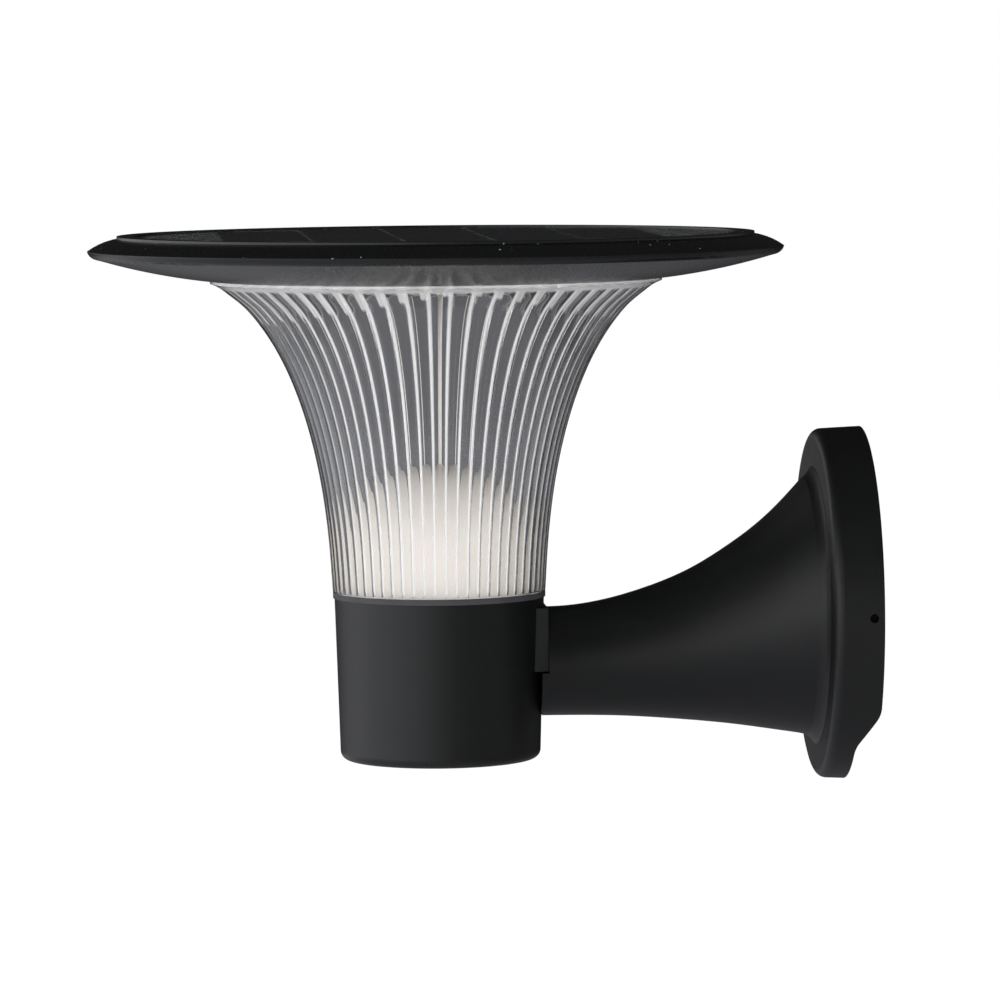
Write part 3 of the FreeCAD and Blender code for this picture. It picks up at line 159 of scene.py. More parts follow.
def clear_moulded(name, tint, shade, rough, ior, wave, depth, marked=False):
    """Clear plastic or glass with a faint wave in its skin; a shadow ray passes it, only shaded.

    A marked piece turns milky where its mesh says so, in a named attribute; on the lens that white is
    painted highlight lines, painted reflection patches and a milky band.
    """
    plain = {
        "Base Color": linear(tint),
        "Roughness": rough,
        "IOR": ior,
        "Transmission Weight": 1.0,
    }
    made, tree, surface, output, place = new_finish(name, plain)
    ripple = add_node(
        tree, "ShaderNodeTexNoise", inputs={"Vector": place, "Scale": 1 / wave, "Detail": 1.0}
    )
    relief = add_node(
        tree,
        "ShaderNodeBump",
        inputs={"Height": ripple, "Distance": depth, "Strength": RIPPLE_RELIEF},
    )
    tree.links.new(relief.outputs[0], surface.inputs["Normal"])
    if marked:
        satin = add_node(tree, "ShaderNodeAttribute", {"attribute_name": "satin"})
        clear = add_node(
            tree, "ShaderNodeMath", {"operation": "SUBTRACT"}, {0: 1.0, 1: satin.outputs["Fac"]}
        )
        tree.links.new(clear.outputs[0], surface.inputs["Transmission Weight"])
    through = add_node(tree, "ShaderNodeBsdfTransparent", inputs={"Color": linear(shade)})
    path = add_node(tree, "ShaderNodeLightPath")
    choice = add_node(
        tree, "ShaderNodeMixShader", inputs={0: path.outputs["Is Shadow Ray"], 1: surface, 2: through}
    )
    tree.links.new(choice.outputs[0], output.inputs["Surface"])
    return made


OPAL_CLOUD = 11 * MM
OPAL_DEPTH = 2 * MM  # how far light spreads inside
OPAL_ROUGH = (0.38, 0.46)


def opal_moulded():
    """Opal polypropylene: milky, light soaks in and comes back warm."""
    plain = {"IOR": 1.49, "Subsurface Weight": 0.2, "Subsurface Scale": OPAL_DEPTH}
    made, tree, surface, _, place = new_finish("polypropylene_moulded_opal", plain)
    cloud = add_node(
        tree, "ShaderNodeTexNoise", inputs={"Vector": place, "Scale": 1 / OPAL_CLOUD, "Detail": 2.0}
    )
    tone = add_node(
        tree,
        "ShaderNodeMix",
        {"data_type": "RGBA"},
        {"Factor": cloud, 6: linear("#ECE6DE"), 7: linear("#F2EDE6")},
    )
    low, high = OPAL_ROUGH
    gloss = add_node(
        tree, "ShaderNodeMapRange", inputs={"Value": cloud, "To Min": low, "To Max": high}
    )
    tree.links.new(tone.outputs[2], surface.inputs["Base Color"])
    tree.links.new(gloss.outputs[0], surface.inputs["Roughness"])
    return made


PLATED_CLOUD = 5 * MM
PLATED_EDGE = 0.15 * MM
PLATED_ROUGH = (0.28, 0.42)
PLATED_LINE = (2.5 * MM, 0.25 * MM, 0.25 * MM)  # length and breadths of the fine lines
PLATED_LINE_DEPTH = 0.01 * MM
PLATED_RELIEF = 0.4


def plated(name, dark, pale):
    """Zinc or nickel plating on drawn steel: dull, cloudy, with fine lines along the wire."""
    made, tree, surface, _, place = new_finish(name, {"Metallic": 1.0})
    cloud = add_node(
        tree, "ShaderNodeTexNoise", inputs={"Vector": place, "Scale": 1 / PLATED_CLOUD, "Detail": 3.0}
    )
    stretched = add_node(
        tree,
        "ShaderNodeMapping",
        inputs={"Vector": place, "Scale": [1 / size for size in PLATED_LINE]},
    )
    lines = add_node(tree, "ShaderNodeTexNoise", inputs={"Vector": stretched, "Scale": 1.0})
    tone = add_node(
        tree,
        "ShaderNodeMix",
        {"data_type": "RGBA"},
        {"Factor": cloud, 6: linear(dark), 7: linear(pale)},
    )
    low, high = PLATED_ROUGH
    gloss = add_node(
        tree, "ShaderNodeMapRange", inputs={"Value": cloud, "To Min": low, "To Max": high}
    )
    round_edge = add_node(tree, "ShaderNodeBevel", {"samples": EDGE_SAMPLES}, {"Radius": PLATED_EDGE})
    relief = add_node(
        tree,
        "ShaderNodeBump",
        inputs={
            "Height": lines,
            "Distance": PLATED_LINE_DEPTH,
            "Strength": PLATED_RELIEF,
            "Normal": round_edge,
        },
    )
    tree.links.new(tone.outputs[2], surface.inputs["Base Color"])
    tree.links.new(gloss.outputs[0], surface.inputs["Roughness"])
    tree.links.new(relief.outputs[0], surface.inputs["Normal"])
    return made


CRYSTAL_SIZE = 7 * MM
FINGER_SPACING = 2.2 * MM
FINGER_SHARE = 0.09  # of the spacing
FINGER_SILVER = "#9DA3AD"
CELL_ROUGH, FINGER_ROUGH = 0.22, 0.4


def printed_cells():
    """Screen-printed silicon: blue-black crystals under fine silver fingers across each strip."""
    made, tree, surface, _, place = new_finish("silicon_cells_printed", {"IOR": 1.6})
    crystal = add_node(
        tree, "ShaderNodeTexVoronoi", inputs={"Vector": place, "Scale": 1 / CRYSTAL_SIZE}
    )
    grey = add_node(tree, "ShaderNodeSeparateColor", inputs={"Color": crystal.outputs["Color"]})
    tone = add_node(
        tree,
        "ShaderNodeMix",
        {"data_type": "RGBA"},
        {"Factor": grey, 6: linear("#0A1230"), 7: linear("#1A2A5A")},
    )
    split = add_node(tree, "ShaderNodeSeparateXYZ", inputs={"Vector": place})
    count = add_node(
        tree, "ShaderNodeMath", {"operation": "DIVIDE"}, {0: split.outputs["Y"], 1: FINGER_SPACING}
    )
    part = add_node(tree, "ShaderNodeMath", {"operation": "FRACT"}, {0: count})
    finger = add_node(tree, "ShaderNodeMath", {"operation": "LESS_THAN"}, {0: part, 1: FINGER_SHARE})
    colour = add_node(
        tree,
        "ShaderNodeMix",
        {"data_type": "RGBA"},
        {"Factor": finger, 6: tone.outputs[2], 7: linear(FINGER_SILVER)},
    )
    gloss = add_node(
        tree,
        "ShaderNodeMapRange",
        inputs={"Value": finger, "To Min": CELL_ROUGH, "To Max": FINGER_ROUGH},
    )
    tree.links.new(colour.outputs[2], surface.inputs["Base Color"])
    tree.links.new(gloss.outputs[0], surface.inputs["Roughness"])
    return made


# Black ABS from a polished tool: an even satin skin that dims smoothly round the cup
satin_black = moulded(
    "abs_moulded_satin_black", "#0C0D0E", "#0F1011", 0.34, 0.35 * MM, 0.006 * MM, ior=1.54
)
# The head's underside is glossier: at the photograph's flat angle it mirrors the lens's neck, blurred
head_black = moulded(
    "abs_moulded_gloss_black", "#0C0D0E", "#0F1011", 0.27, 0.35 * MM, 0.004 * MM, ior=1.54
)
# The head's upper side: nearly black, with pale specks where dust has settled
dusty_black = moulded(
    "abs_moulded_gloss_dusty", "#0C0D0E", "#0F1011", 0.26, 0.35 * MM, 0.006 * MM, ior=1.54, dust=0.42
)
# The arm is duller: wide, soft highlights; its darker base colour and lower IOR are painted shade, for the
# shade the cup and the head cast on it
arm_black_shaded = moulded(
    "abs_moulded_dull_black_painted_shade", "#08090A", "#0B0C0D", 0.42, 0.35 * MM, 0.006 * MM, ior=1.47
)
# Black ABS from a spark-eroded tool: fine grains that break the gloss up, on the plate and the cover
sand_black = moulded(
    "abs_moulded_sand_black", "#0B0C0D", "#0F1011", 0.45, 0.45 * MM, 0.05 * MM, ior=1.5
)
# Clear polycarbonate: the flutes bend the room into bright lines; white in its grooves as painted highlight
# lines and in patches under its top as painted reflection, milky in the plain band at its top
clear_lens = clear_moulded(
    "polycarbonate_moulded_clear", "#FCFCFD", "#FBFBFC", 0.01, 1.585, 9 * MM, 0.003 * MM, marked=True
)
# Tempered glass: the cells show through a faint green, under soft reflections
panel_glass = clear_moulded("glass_tempered_flat", "#EDF4F0", "#E6EEEA", 0.12, 1.52, 30 * MM, 0.05 * MM)
# The dome, milky white and slightly warm, and the cells, blue-black under silver fingers
opal = opal_moulded()
cells = printed_cells()
# The lead's white sheath, a little uneven from the die
lead_white = moulded("pvc_extruded_white", "#E9E5E0", "#F2EFEA", 0.45, 2 * MM, 0.01 * MM)
# Plain white and smoke-grey polycarbonate inside the lamp
tray_white = moulded("pc_moulded_white", "#ECECE8", "#F3F3F0", 0.5, 0.5 * MM, 0.02 * MM)
tray_smoke = moulded("pc_moulded_smoke", "#2C2E31", "#34363A", 0.45, 0.5 * MM, 0.01 * MM)
# Rubbers: the grey lip that shows as a line over the cup, dull black seals and the button's soft cap
lip_rubber = moulded("rubber_moulded_smoke", "#2C2C2E", "#3C3C3F", 0.6, 0.4 * MM, 0.01 * MM)
seal_rubber = moulded("epdm_moulded_black", "#141414", "#1C1C1C", 0.7, 0.5 * MM, 0.03 * MM)
button_rubber = moulded("silicone_moulded_black", "#161617", "#1D1D1E", 0.6, 0.3 * MM, 0.01 * MM)
# Boards and what stands on them: white laminate, green mask, dull black packages, yellow phosphor
laminate_white = moulded("laminate_pressed_white", "#E4E4E0", "#ECECE8", 0.4, 0.5 * MM, 0.01 * MM)
board_green = moulded("fr4_masked_green", "#123B22", "#1B5230", 0.35, 1.5 * MM, 0.01 * MM)
part_black = moulded("epoxy_moulded_black", "#17181A", "#222327", 0.55, 0.3 * MM, 0.01 * MM)
phosphor = moulded("silicone_phosphor_yellow", "#E4C95C", "#F0DA7E", 0.4, 0.2 * MM, 0.01 * MM)
# The battery's shrunk sleeve: blue, glossy, slightly rippled
sleeve_blue = moulded("pvc_shrunk_blue", "#1F5596", "#2C67AC", 0.28, 3 * MM, 0.02 * MM)
# Metals: cool grey zinc, warmer nickel on the contacts, near-black screws where they show
zinc = plated("steel_zinc_plated", "#8E9296", "#B6BABD")
nickel = plated("steel_nickel_plated", "#A3A39C", "#C6C5BC")
blackened = plated("steel_blackened", "#1C1D1F", "#2B2C2F")

# The lens, the cover's screws and the side screws are built again below, and take their finish there
FINISHES = {
    "top_shell": dusty_black,
    "lower_shell": head_black,
    "cup_body": satin_black,
    "arm": arm_black_shaded,
    "bottom_cover": sand_black,
    "wall_plate": sand_black,
    "dome_diffuser": opal,
    "panel_lead": lead_white,
    "panel_glass": panel_glass,
    "solar_cells": cells,
    "panel_board": laminate_white,
    "panel_terminal": part_black,
    "led_tray": tray_smoke,
    "led_board": laminate_white,
    "led_chips": phosphor,
    "panel_seal": seal_rubber,
    "shell_seal": seal_rubber,
    "neck_seal": seal_rubber,
    "foot_seal": seal_rubber,
    "cover_seal": seal_rubber,
    "lead_grommet": seal_rubber,
    "power_button": button_rubber,
    "battery_cell": sleeve_blue,
    "battery_holder": part_black,
    "battery_contacts": nickel,
    "controller_board": board_green,
    "switch_board": board_green,
    "switch_body": part_black,
    "switch_plunger": tray_white,
    "board_parts": part_black,
    "board_screws": zinc,
    "tray_screws": zinc,
    "shell_screws": zinc,
    "neck_screws": zinc,
    "arm_screws": zinc,
    "plate_screws": zinc,
    "wall_bracket": zinc,
}

for name, finish in FINISHES.items():
    held = nodes[name].data.materials
    held.clear()
    held.append(finish)


# Lens

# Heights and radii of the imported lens
LENS_FOOT_Z = 4.7 * MM
FLUTES_START_Z = 7.4 * MM
LENS_NECK_Z = 122.8 * MM
LENS_FOOT_RADIUS = 39.9 * MM
LENS_NECK_RADIUS = 84.4 * MM
LENS_WALL = 2.4 * MM
CUP_EDGE_RADIUS = 39.3 * MM
SPIGOT_RADIUS = 36.4 * MM
SPIGOT_BORE = 34.4 * MM
TRAY_HOLE = 26.4 * MM
TRAY_UNDER_Z = 2.0 * MM
CROWN_Z = 123.9 * MM
CROWN_BORE = 82.8 * MM
# A flute is one repeat of the lens's inside: a flat-backed rib with half a V groove at each side
FLUTES = 60
FLUTE_COLUMNS = 12
FLUTE_TURN = 3.5  # degrees that the flutes are turned by about the lamp's axis
FLUTES_END_Z = 122.5 * MM
FLUTE_RUN_OUT = 1.2 * MM
GROOVE_SHARE = 0.10  # of a flute's width, taken by the grooves at its sides
GROOVE_ANGLE = 35.0  # degrees between a groove's side and the wall
RIB_BOW = 0.22  # of a flute's width, how strongly the rib's shoulders fall away
FLAT_SHARE = 0.25  # of a rib's half width, flat at its middle
SIDE_COLUMNS = FLUTE_COLUMNS / 2
BACK_STRETCH = SIDE_COLUMNS / (SIDE_COLUMNS - 1)
GROOVE_STRETCH = SIDE_COLUMNS - 1
OUTER_ROWS = 64
LENS_SHARP = 28.0  # degrees; sharper edges of the finished piece stay edges
MERGE_REACH = 0.001 * MM
# How white the lens is painted: its grooves as painted highlight lines, patches under the head as painted
# reflection, the plain band over the flutes as a milky finish
GROOVE_PAINTED_HIGHLIGHT = 0.95
PATCH_PAINTED_REFLECTION = 0.75
BAND_SATIN = 0.7
GROOVE_FROM = 0.9  # of a rib's half width, where the groove's painted highlight starts
PATCH_FROM = 0.3  # of a rib's half width, where a patch starts
PATCHES_FROM_Z = 109.0 * MM
PATCH_MARK_TOP = 1.0
BAND_MARK = 2.0
# The grooves' painted highlight lines are strongest at the front, weaker at the sides and nearly gone at
# the back
HIGHLIGHT_AT_SIDES = 0.8
HIGHLIGHT_TURN_LOSS = 1.6
HIGHLIGHT_AT_BACK = 0.12
HIGHLIGHT_EDGE_CLEAR = 4.0  # how soon the painted highlight comes back from the lens's left and right edges
# The outside's sweep: share of the rise and share of the step from the foot's to the neck's radius
LENS_SHARES = (
    (0.0, 0.0),
    (0.147, 0.025),
    (0.342, 0.087),
    (0.538, 0.200),
    (0.693, 0.340),
    (0.810, 0.494),
    (0.888, 0.636),
    (0.927, 0.728),
    (0.966, 0.853),
    (0.992, 0.949),
    (1.0, 1.0),
)


def natural_curve(points, count):
    """Points evenly along a smooth curve through the given ones."""
    given = np.array(points)
    steps = np.linalg.norm(np.diff(given, axis=0), axis=1)
    at = np.concatenate([[0.0], np.cumsum(steps)])
    size = len(at)
    matrix = np.eye(size)
    right = np.zeros((size, 2))
    for i in range(1, size - 1):
        before, after = steps[i - 1], steps[i]
        matrix[i, i - 1 : i + 2] = before / 6, (before + after) / 3, after / 6
        right[i] = (given[i + 1] - given[i]) / after - (given[i] - given[i - 1]) / before
    bend = np.linalg.solve(matrix, right)
    found = []
    for value in np.linspace(0.0, at[-1], count):
        i = min(int(np.searchsorted(at, value, side="right")) - 1, size - 2)
        gap = steps[i]
        a, b = (at[i + 1] - value) / gap, (value - at[i]) / gap
        curve = ((a**3 - a) * bend[i] + (b**3 - b) * bend[i + 1]) * gap * gap / 6
        found.append(a * given[i] + b * given[i + 1] + curve)
    return np.array(found)


def lens_outline():
    """The lens's cut shape, up its outside and down its inside.

    Each point has a radius, a height, how deep the flutes are there (0 to 1) and a mark for how white it is
    painted: 0 is clear, up to PATCH_MARK_TOP is the share of the way up the painted reflection patches,
    BAND_MARK is the plain milky band.
    """
    rise = LENS_NECK_Z - FLUTES_START_Z
    step = LENS_NECK_RADIUS - LENS_FOOT_RADIUS
    given = [(LENS_FOOT_RADIUS + step * out, FLUTES_START_Z + rise * up) for up, out in LENS_SHARES]
    outer = natural_curve(given, OUTER_ROWS)
    along = np.gradient(outer, axis=0)
    along /= np.linalg.norm(along, axis=1)[:, None]
    inner = outer + np.stack([-along[:, 1], along[:, 0]], axis=1) * LENS_WALL
    inner = inner[(inner[:, 1] > FLUTES_START_Z) & (inner[:, 1] < CROWN_Z)]
    foot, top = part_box("lens")[0][2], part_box("lens")[1][2]
    path = [
        (SPIGOT_RADIUS, foot, 0, 0),
        (SPIGOT_RADIUS, LENS_FOOT_Z, 0, 0),
        (CUP_EDGE_RADIUS, LENS_FOOT_Z, 0, 0),
    ]
    path += [(r, z, 0, 0) for r, z in outer]
    crown = ((LENS_NECK_RADIUS, top), (CROWN_BORE, top), (CROWN_BORE, CROWN_Z))
    path += [(r, z, 0, BAND_MARK) for r, z in crown]
    patch_rise = FLUTES_END_Z - PATCHES_FROM_Z
    for r, z in inner[::-1]:
        left = max(min((z - FLUTES_START_Z) / FLUTE_RUN_OUT, (FLUTES_END_Z - z) / FLUTE_RUN_OUT, 1), 0)
        patch_mark = PATCH_MARK_TOP * max(z - PATCHES_FROM_Z, 0) / patch_rise
        mark = BAND_MARK if z > FLUTES_END_Z else patch_mark
        path.append((r, z, math.sqrt(1 - (1 - left) ** 2), mark))
    path += [(SPIGOT_BORE, FLUTES_START_Z, 0, 0), (SPIGOT_BORE, TRAY_UNDER_Z, 0, 0)]
    path += [(TRAY_HOLE, TRAY_UNDER_Z, 0, 0), (TRAY_HOLE, foot, 0, 0)]
    return path


# Each line of the step tables is one Math node: its name, its operation and its two values, each a
# number or the name of an input or of an earlier line.
# These give a grid point's row of the outline, its turn about the axis and how far the lens's inside
# is hollowed there, in widths of a flute. "along" runs once round the lens from 0 to 1.
FLUTE_STEPS = (
    ("columns_and_one", "ADD", "Columns", 1.0),
    ("rows_and_one", "ADD", "Rows", 1.0),
    ("row_share", "ADD", "grid_y", 0.5),
    ("row_at", "MULTIPLY", "row_share", "Rows"),
    ("row_whole", "ROUND", "row_at", 0.0),
    ("row", "MODULO", "row_whole", "Rows"),
    ("along", "ADD", "grid_x", 0.5),
    ("flutes_along", "MULTIPLY", "along", "Flutes"),
    ("flutes_half", "ADD", "flutes_along", 0.5),
    ("flute", "FLOOR", "flutes_half", 0.0),
    ("even", "SUBTRACT", "flutes_half", "flute"),
    ("even_twice", "MULTIPLY", "even", 2.0),
    ("even_across", "SUBTRACT", "even_twice", 1.0),
    ("side", "SIGN", "even_across", 0.0),
    ("even_off", "ABSOLUTE", "even_across", 0.0),
    # The rib's back takes all columns but the last on each side, which goes down into the groove
    ("back_share", "SUBTRACT", 1.0, "Groove Share"),
    ("off_stretched", "MULTIPLY", "even_off", BACK_STRETCH),
    ("on_back", "MINIMUM", "off_stretched", 1.0),
    ("off_left", "SUBTRACT", "off_stretched", "on_back"),
    ("down_groove", "MULTIPLY", "off_left", GROOVE_STRETCH),
    ("back_off", "MULTIPLY", "on_back", "back_share"),
    ("groove_off", "MULTIPLY", "down_groove", "Groove Share"),
    ("off", "ADD", "back_off", "groove_off"),
    ("across", "MULTIPLY", "off", "side"),
    ("across_half", "MULTIPLY", "across", 0.5),
    ("turned", "ADD", "flute", "across_half"),
    ("turned_round", "MULTIPLY", "turned", math.tau),
    ("angle", "DIVIDE", "turned_round", "Flutes"),
    # Depth below the rib's flat back
    ("past_flat", "SUBTRACT", "on_back", FLAT_SHARE),
    ("on_shoulder", "MAXIMUM", "past_flat", 0.0),
    ("shoulder_square", "MULTIPLY", "on_shoulder", "on_shoulder"),
    ("bow", "MULTIPLY", "shoulder_square", "Rib Bow"),
    ("steepness", "TANGENT", "Groove Angle", 0.0),
    ("groove_half", "MULTIPLY", "Groove Share", 0.5),
    ("groove_depth", "MULTIPLY", "groove_half", "steepness"),
    ("groove", "MULTIPLY", "down_groove", "groove_depth"),
    ("hollow", "ADD", "bow", "groove"),
    ("in_groove", "GREATER_THAN", "on_back", GROOVE_FROM),
    ("off_middle", "GREATER_THAN", "on_back", PATCH_FROM),
)
# These place the grid point from its row's radius, flute weight and mark, and say how white it is painted:
# a milky band, painted highlight lines or painted reflection patches
PLACE_STEPS = (
    ("girth", "MULTIPLY", "radius", math.tau),
    ("width", "DIVIDE", "girth", "Flutes"),
    ("depth", "MULTIPLY", "width", "hollow"),
    ("depth_here", "MULTIPLY", "depth", "weight"),
    ("out", "ADD", "radius", "depth_here"),
    ("cosine", "COSINE", "angle", 0.0),
    ("sine", "SINE", "angle", 0.0),
    ("x", "MULTIPLY", "out", "cosine"),
    ("y", "MULTIPLY", "out", "sine"),
    # Painted highlight lines in the grooves, white by the mesh, fading towards the back and the left and
    # right edges; the sine is 1 at the lens's back and -1 at its front
    ("groove_here", "MULTIPLY", "in_groove", "weight"),
    ("away", "MULTIPLY", "sine", HIGHLIGHT_TURN_LOSS),
    ("clearing", "SUBTRACT", HIGHLIGHT_AT_SIDES, "away"),
    ("clearing_least", "MAXIMUM", "clearing", HIGHLIGHT_AT_BACK),
    ("sideness", "ABSOLUTE", "cosine", 0.0),
    ("off_edge", "SUBTRACT", 1.0, "sideness"),
    ("edge_clear", "MULTIPLY", "off_edge", HIGHLIGHT_EDGE_CLEAR),
    ("edge_or_one", "MINIMUM", "edge_clear", 1.0),
    ("worn", "MINIMUM", "clearing_least", "edge_or_one"),
    ("groove_worn", "MULTIPLY", "groove_here", "worn"),
    ("groove_satin", "MULTIPLY", "groove_worn", GROOVE_PAINTED_HIGHLIGHT),
    # A milky band over the flutes, and painted reflection in white patches on the side of each rib that
    # faces the lens's middle line
    ("band", "GREATER_THAN", "mark", (PATCH_MARK_TOP + BAND_MARK) / 2),
    ("band_satin", "MULTIPLY", "band", BAND_SATIN),
    ("off_axis", "MULTIPLY", "side", "cosine"),
    ("near_axis", "LESS_THAN", "off_axis", 0.0),
    ("on_patch", "MULTIPLY", "near_axis", "off_middle"),
    ("patch_row", "GREATER_THAN", "mark", "off_edge"),
    ("patch", "MULTIPLY", "patch_row", "on_patch"),
    ("patch_satin", "MULTIPLY", "patch", PATCH_PAINTED_REFLECTION),
    # The piece's white: painted highlight lines, painted reflection patches and the milky band
    ("lines_or_band", "MAXIMUM", "groove_satin", "band_satin"),
    ("satin", "MAXIMUM", "lines_or_band", "patch_satin"),
)


def turned_tree():
    """Geometry Nodes: turns an outline about its axis, its weighted part hollowed between the ribs."""
    tree = bpy.data.node_groups.new("turned_and_fluted", "GeometryNodeTree")
    face = tree.interface
    for name, kind in (
        ("Outline", "NodeSocketGeometry"),
        ("Columns", "NodeSocketInt"),
        ("Rows", "NodeSocketInt"),
        ("Flutes", "NodeSocketFloat"),
        ("Groove Share", "NodeSocketFloat"),
        ("Groove Angle", "NodeSocketFloat"),
        ("Rib Bow", "NodeSocketFloat"),
        ("Finish", "NodeSocketMaterial"),
    ):
        face.new_socket(name, in_out="INPUT", socket_type=kind)
    face.new_socket("Piece", in_out="OUTPUT", socket_type="NodeSocketGeometry")
    given = add_node(tree, "NodeGroupInput")
    result = add_node(tree, "NodeGroupOutput")
    found = {socket.name: socket for socket in given.outputs if socket.name}
    place = add_node(tree, "GeometryNodeInputPosition").outputs[0]
    parts = add_node(tree, "ShaderNodeSeparateXYZ", inputs={"Vector": place})
    found["grid_x"], found["grid_y"] = parts.outputs["X"], parts.outputs["Y"]
    for name, operation, first, second in FLUTE_STEPS:
        values = {0: found.get(first, first), 1: found.get(second, second)}
        found[name] = add_node(tree, "ShaderNodeMath", {"operation": operation}, values).outputs[0]
    grid = add_node(
        tree,
        "GeometryNodeMeshGrid",
        inputs={
            "Size X": 1.0,
            "Size Y": 1.0,
            "Vertices X": found["columns_and_one"],
            "Vertices Y": found["rows_and_one"],
        },
    )
    spot = add_node(
        tree,
        "GeometryNodeSampleIndex",
        {"data_type": "FLOAT_VECTOR", "domain": "POINT"},
        {"Geometry": given.outputs["Outline"], "Value": place, "Index": found["row"]},
    )
    outline_place = add_node(tree, "ShaderNodeSeparateXYZ", inputs={"Vector": spot})
    found["radius"] = outline_place.outputs["X"]
    for name, key in (("flute_weight", "weight"), ("satin_mark", "mark")):
        there = add_node(
            tree, "GeometryNodeInputNamedAttribute", {"data_type": "FLOAT"}, {"Name": name}
        )
        sampled = add_node(
            tree,
            "GeometryNodeSampleIndex",
            {"data_type": "FLOAT", "domain": "POINT"},
            {
                "Geometry": given.outputs["Outline"],
                "Value": there.outputs["Attribute"],
                "Index": found["row"],
            },
        )
        found[key] = sampled.outputs[0]
    for name, operation, first, second in PLACE_STEPS:
        values = {0: found.get(first, first), 1: found.get(second, second)}
        found[name] = add_node(tree, "ShaderNodeMath", {"operation": operation}, values).outputs[0]
    there = add_node(
        tree,
        "ShaderNodeCombineXYZ",
        inputs={"X": found["x"], "Y": found["y"], "Z": outline_place.outputs["Z"]},
    )
    # Stores the painted highlight, painted reflection and milky band in the mesh
    marked = add_node(
        tree,
        "GeometryNodeStoreNamedAttribute",
        {"data_type": "FLOAT", "domain": "POINT"},
        {"Geometry": grid.outputs["Mesh"], "Name": "satin", "Value": found["satin"]},
    )
    shaped = add_node(
        tree, "GeometryNodeSetPosition", inputs={"Geometry": marked, "Position": there}
    )
    closed = add_node(
        tree, "GeometryNodeMergeByDistance", inputs={"Geometry": shaped, "Distance": MERGE_REACH}
    )
    real = add_node(tree, "GeometryNodeRealizeInstances", inputs={"Geometry": closed})
    done = add_node(
        tree,
        "GeometryNodeSetMaterial",
        inputs={"Geometry": real, "Material": given.outputs["Finish"]},
    )
    tree.links.new(done.outputs[0], result.inputs["Piece"])
    return tree


def outline_object(name, outline):
    """An outline as a chain of points with the flute weight and the mark for the painted white of each."""
    line = bpy.data.meshes.new(name)
    count = len(outline)
    line.from_pydata([(r, 0, z) for r, z, *_ in outline], [(i, i + 1) for i in range(count - 1)], [])
    for column, key in ((2, "flute_weight"), (3, "satin_mark")):
        values = line.attributes.new(key, "FLOAT", "POINT")
        values.data.foreach_set("value", [float(point[column]) for point in outline])
    source = bpy.data.objects.new(name, line)
    bpy.context.scene.collection.objects.link(source)
    return source


def made_by(tree, source, values):
    """Runs a tree on a source object and keeps the result as a plain mesh."""
    modifier = source.modifiers.new("made", "NODES")
    modifier.node_group = tree
    for item in tree.interface.items_tree:
        if item.item_type == "SOCKET" and item.name in values:
            modifier[item.identifier] = values[item.name]
    bpy.context.view_layer.update()
    evaluated = source.evaluated_get(bpy.context.evaluated_depsgraph_get())
    mesh = bpy.data.meshes.new_from_object(evaluated)
    source.modifiers.remove(modifier)
    bpy.data.objects.remove(source)
    return mesh


def kept(name, mesh, sharp_angle):
    """An object for a finished mesh, smooth but for edges sharper than an angle."""
    mesh.polygons.foreach_set("use_smooth", [True] * len(mesh.polygons))
    mesh.set_sharp_from_angle(angle=math.radians(sharp_angle))
    if volume_of(mesh) < 0:
        mesh.flip_normals()
    made = bpy.data.objects.new(name, mesh)
    bpy.context.scene.collection.objects.link(made)
    return made


def volume_of(mesh):
    """Signed volume: positive where the faces point outwards."""
    mesh.calc_loop_triangles()
    points = np.empty(len(mesh.vertices) * 3)
    mesh.vertices.foreach_get("co", points)
    points = points.reshape(-1, 3)
    corners = np.empty(len(mesh.loop_triangles) * 3, dtype=np.int64)
    mesh.loop_triangles.foreach_get("vertices", corners)
    a, b, c = (points[corners.reshape(-1, 3)[:, i]] for i in range(3))
    return float(np.einsum("ij,ij->i", a, np.cross(b, c)).sum() / 6)


def make_lens():
    """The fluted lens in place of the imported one: the same wall, with crisper ribs on its inside."""
    outline = lens_outline()
    values = {
        "Columns": FLUTES * FLUTE_COLUMNS,
        "Rows": len(outline),
        "Flutes": float(FLUTES),
        "Groove Share": GROOVE_SHARE,
        "Groove Angle": math.radians(GROOVE_ANGLE),
        "Rib Bow": RIB_BOW,
        "Finish": clear_lens,
    }
    mesh = made_by(turned_tree(), outline_object("lens_outline", outline), values)
    turn = Matrix.Rotation(math.radians(FLUTE_TURN), 4, "Z")
    mesh.transform(Matrix.Translation((LAMP_X, 0, 0)) @ turn)
    made = kept("fluted_lens", mesh, LENS_SHARP)
    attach(made, "root")
    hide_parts("lens")


make_lens()


# The foot seal's lip: a grey line between the lens's foot and the cup

RING_COLUMNS = 120  # flat sides of about 2 mm round the lip
RING_SHARP = 40.0
LIP_TOP_Z = 6.9 * MM
LIP_INNER = 39.25 * MM
LIP_OUTER = 39.85 * MM
LIP_ROUND = 0.3 * MM


def make_ring(name, outline, finish):
    """A new fixed piece turned about the lens's axis from a closed outline, with nothing hollowed."""
    values = {
        "Columns": RING_COLUMNS,
        "Rows": len(outline),
        "Flutes": 1.0,
        "Groove Share": GROOVE_SHARE,
        "Groove Angle": 0.0,
        "Rib Bow": 0.0,
        "Finish": finish,
    }
    mesh = made_by(turned_tree(), outline_object(name + "_outline", outline), values)
    mesh.transform(Matrix.Translation((LAMP_X, 0, 0)))
    made = kept(name, mesh, RING_SHARP)
    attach(made, "root")


# m05 is the record's plain black rubber, the foot seal's own
make_ring(
    "foot_lip",
    [
        (LIP_INNER, LENS_FOOT_Z, 0, 0),
        (LIP_OUTER, LENS_FOOT_Z, 0, 0),
        (LIP_OUTER, LIP_TOP_Z - LIP_ROUND, 0, 0),
        (LIP_OUTER - LIP_ROUND / 3, LIP_TOP_Z - LIP_ROUND / 3, 0, 0),
        (LIP_OUTER - LIP_ROUND, LIP_TOP_Z, 0, 0),
        (LIP_INNER, LIP_TOP_Z, 0, 0),
    ],
    lip_rubber,
)


# Screws

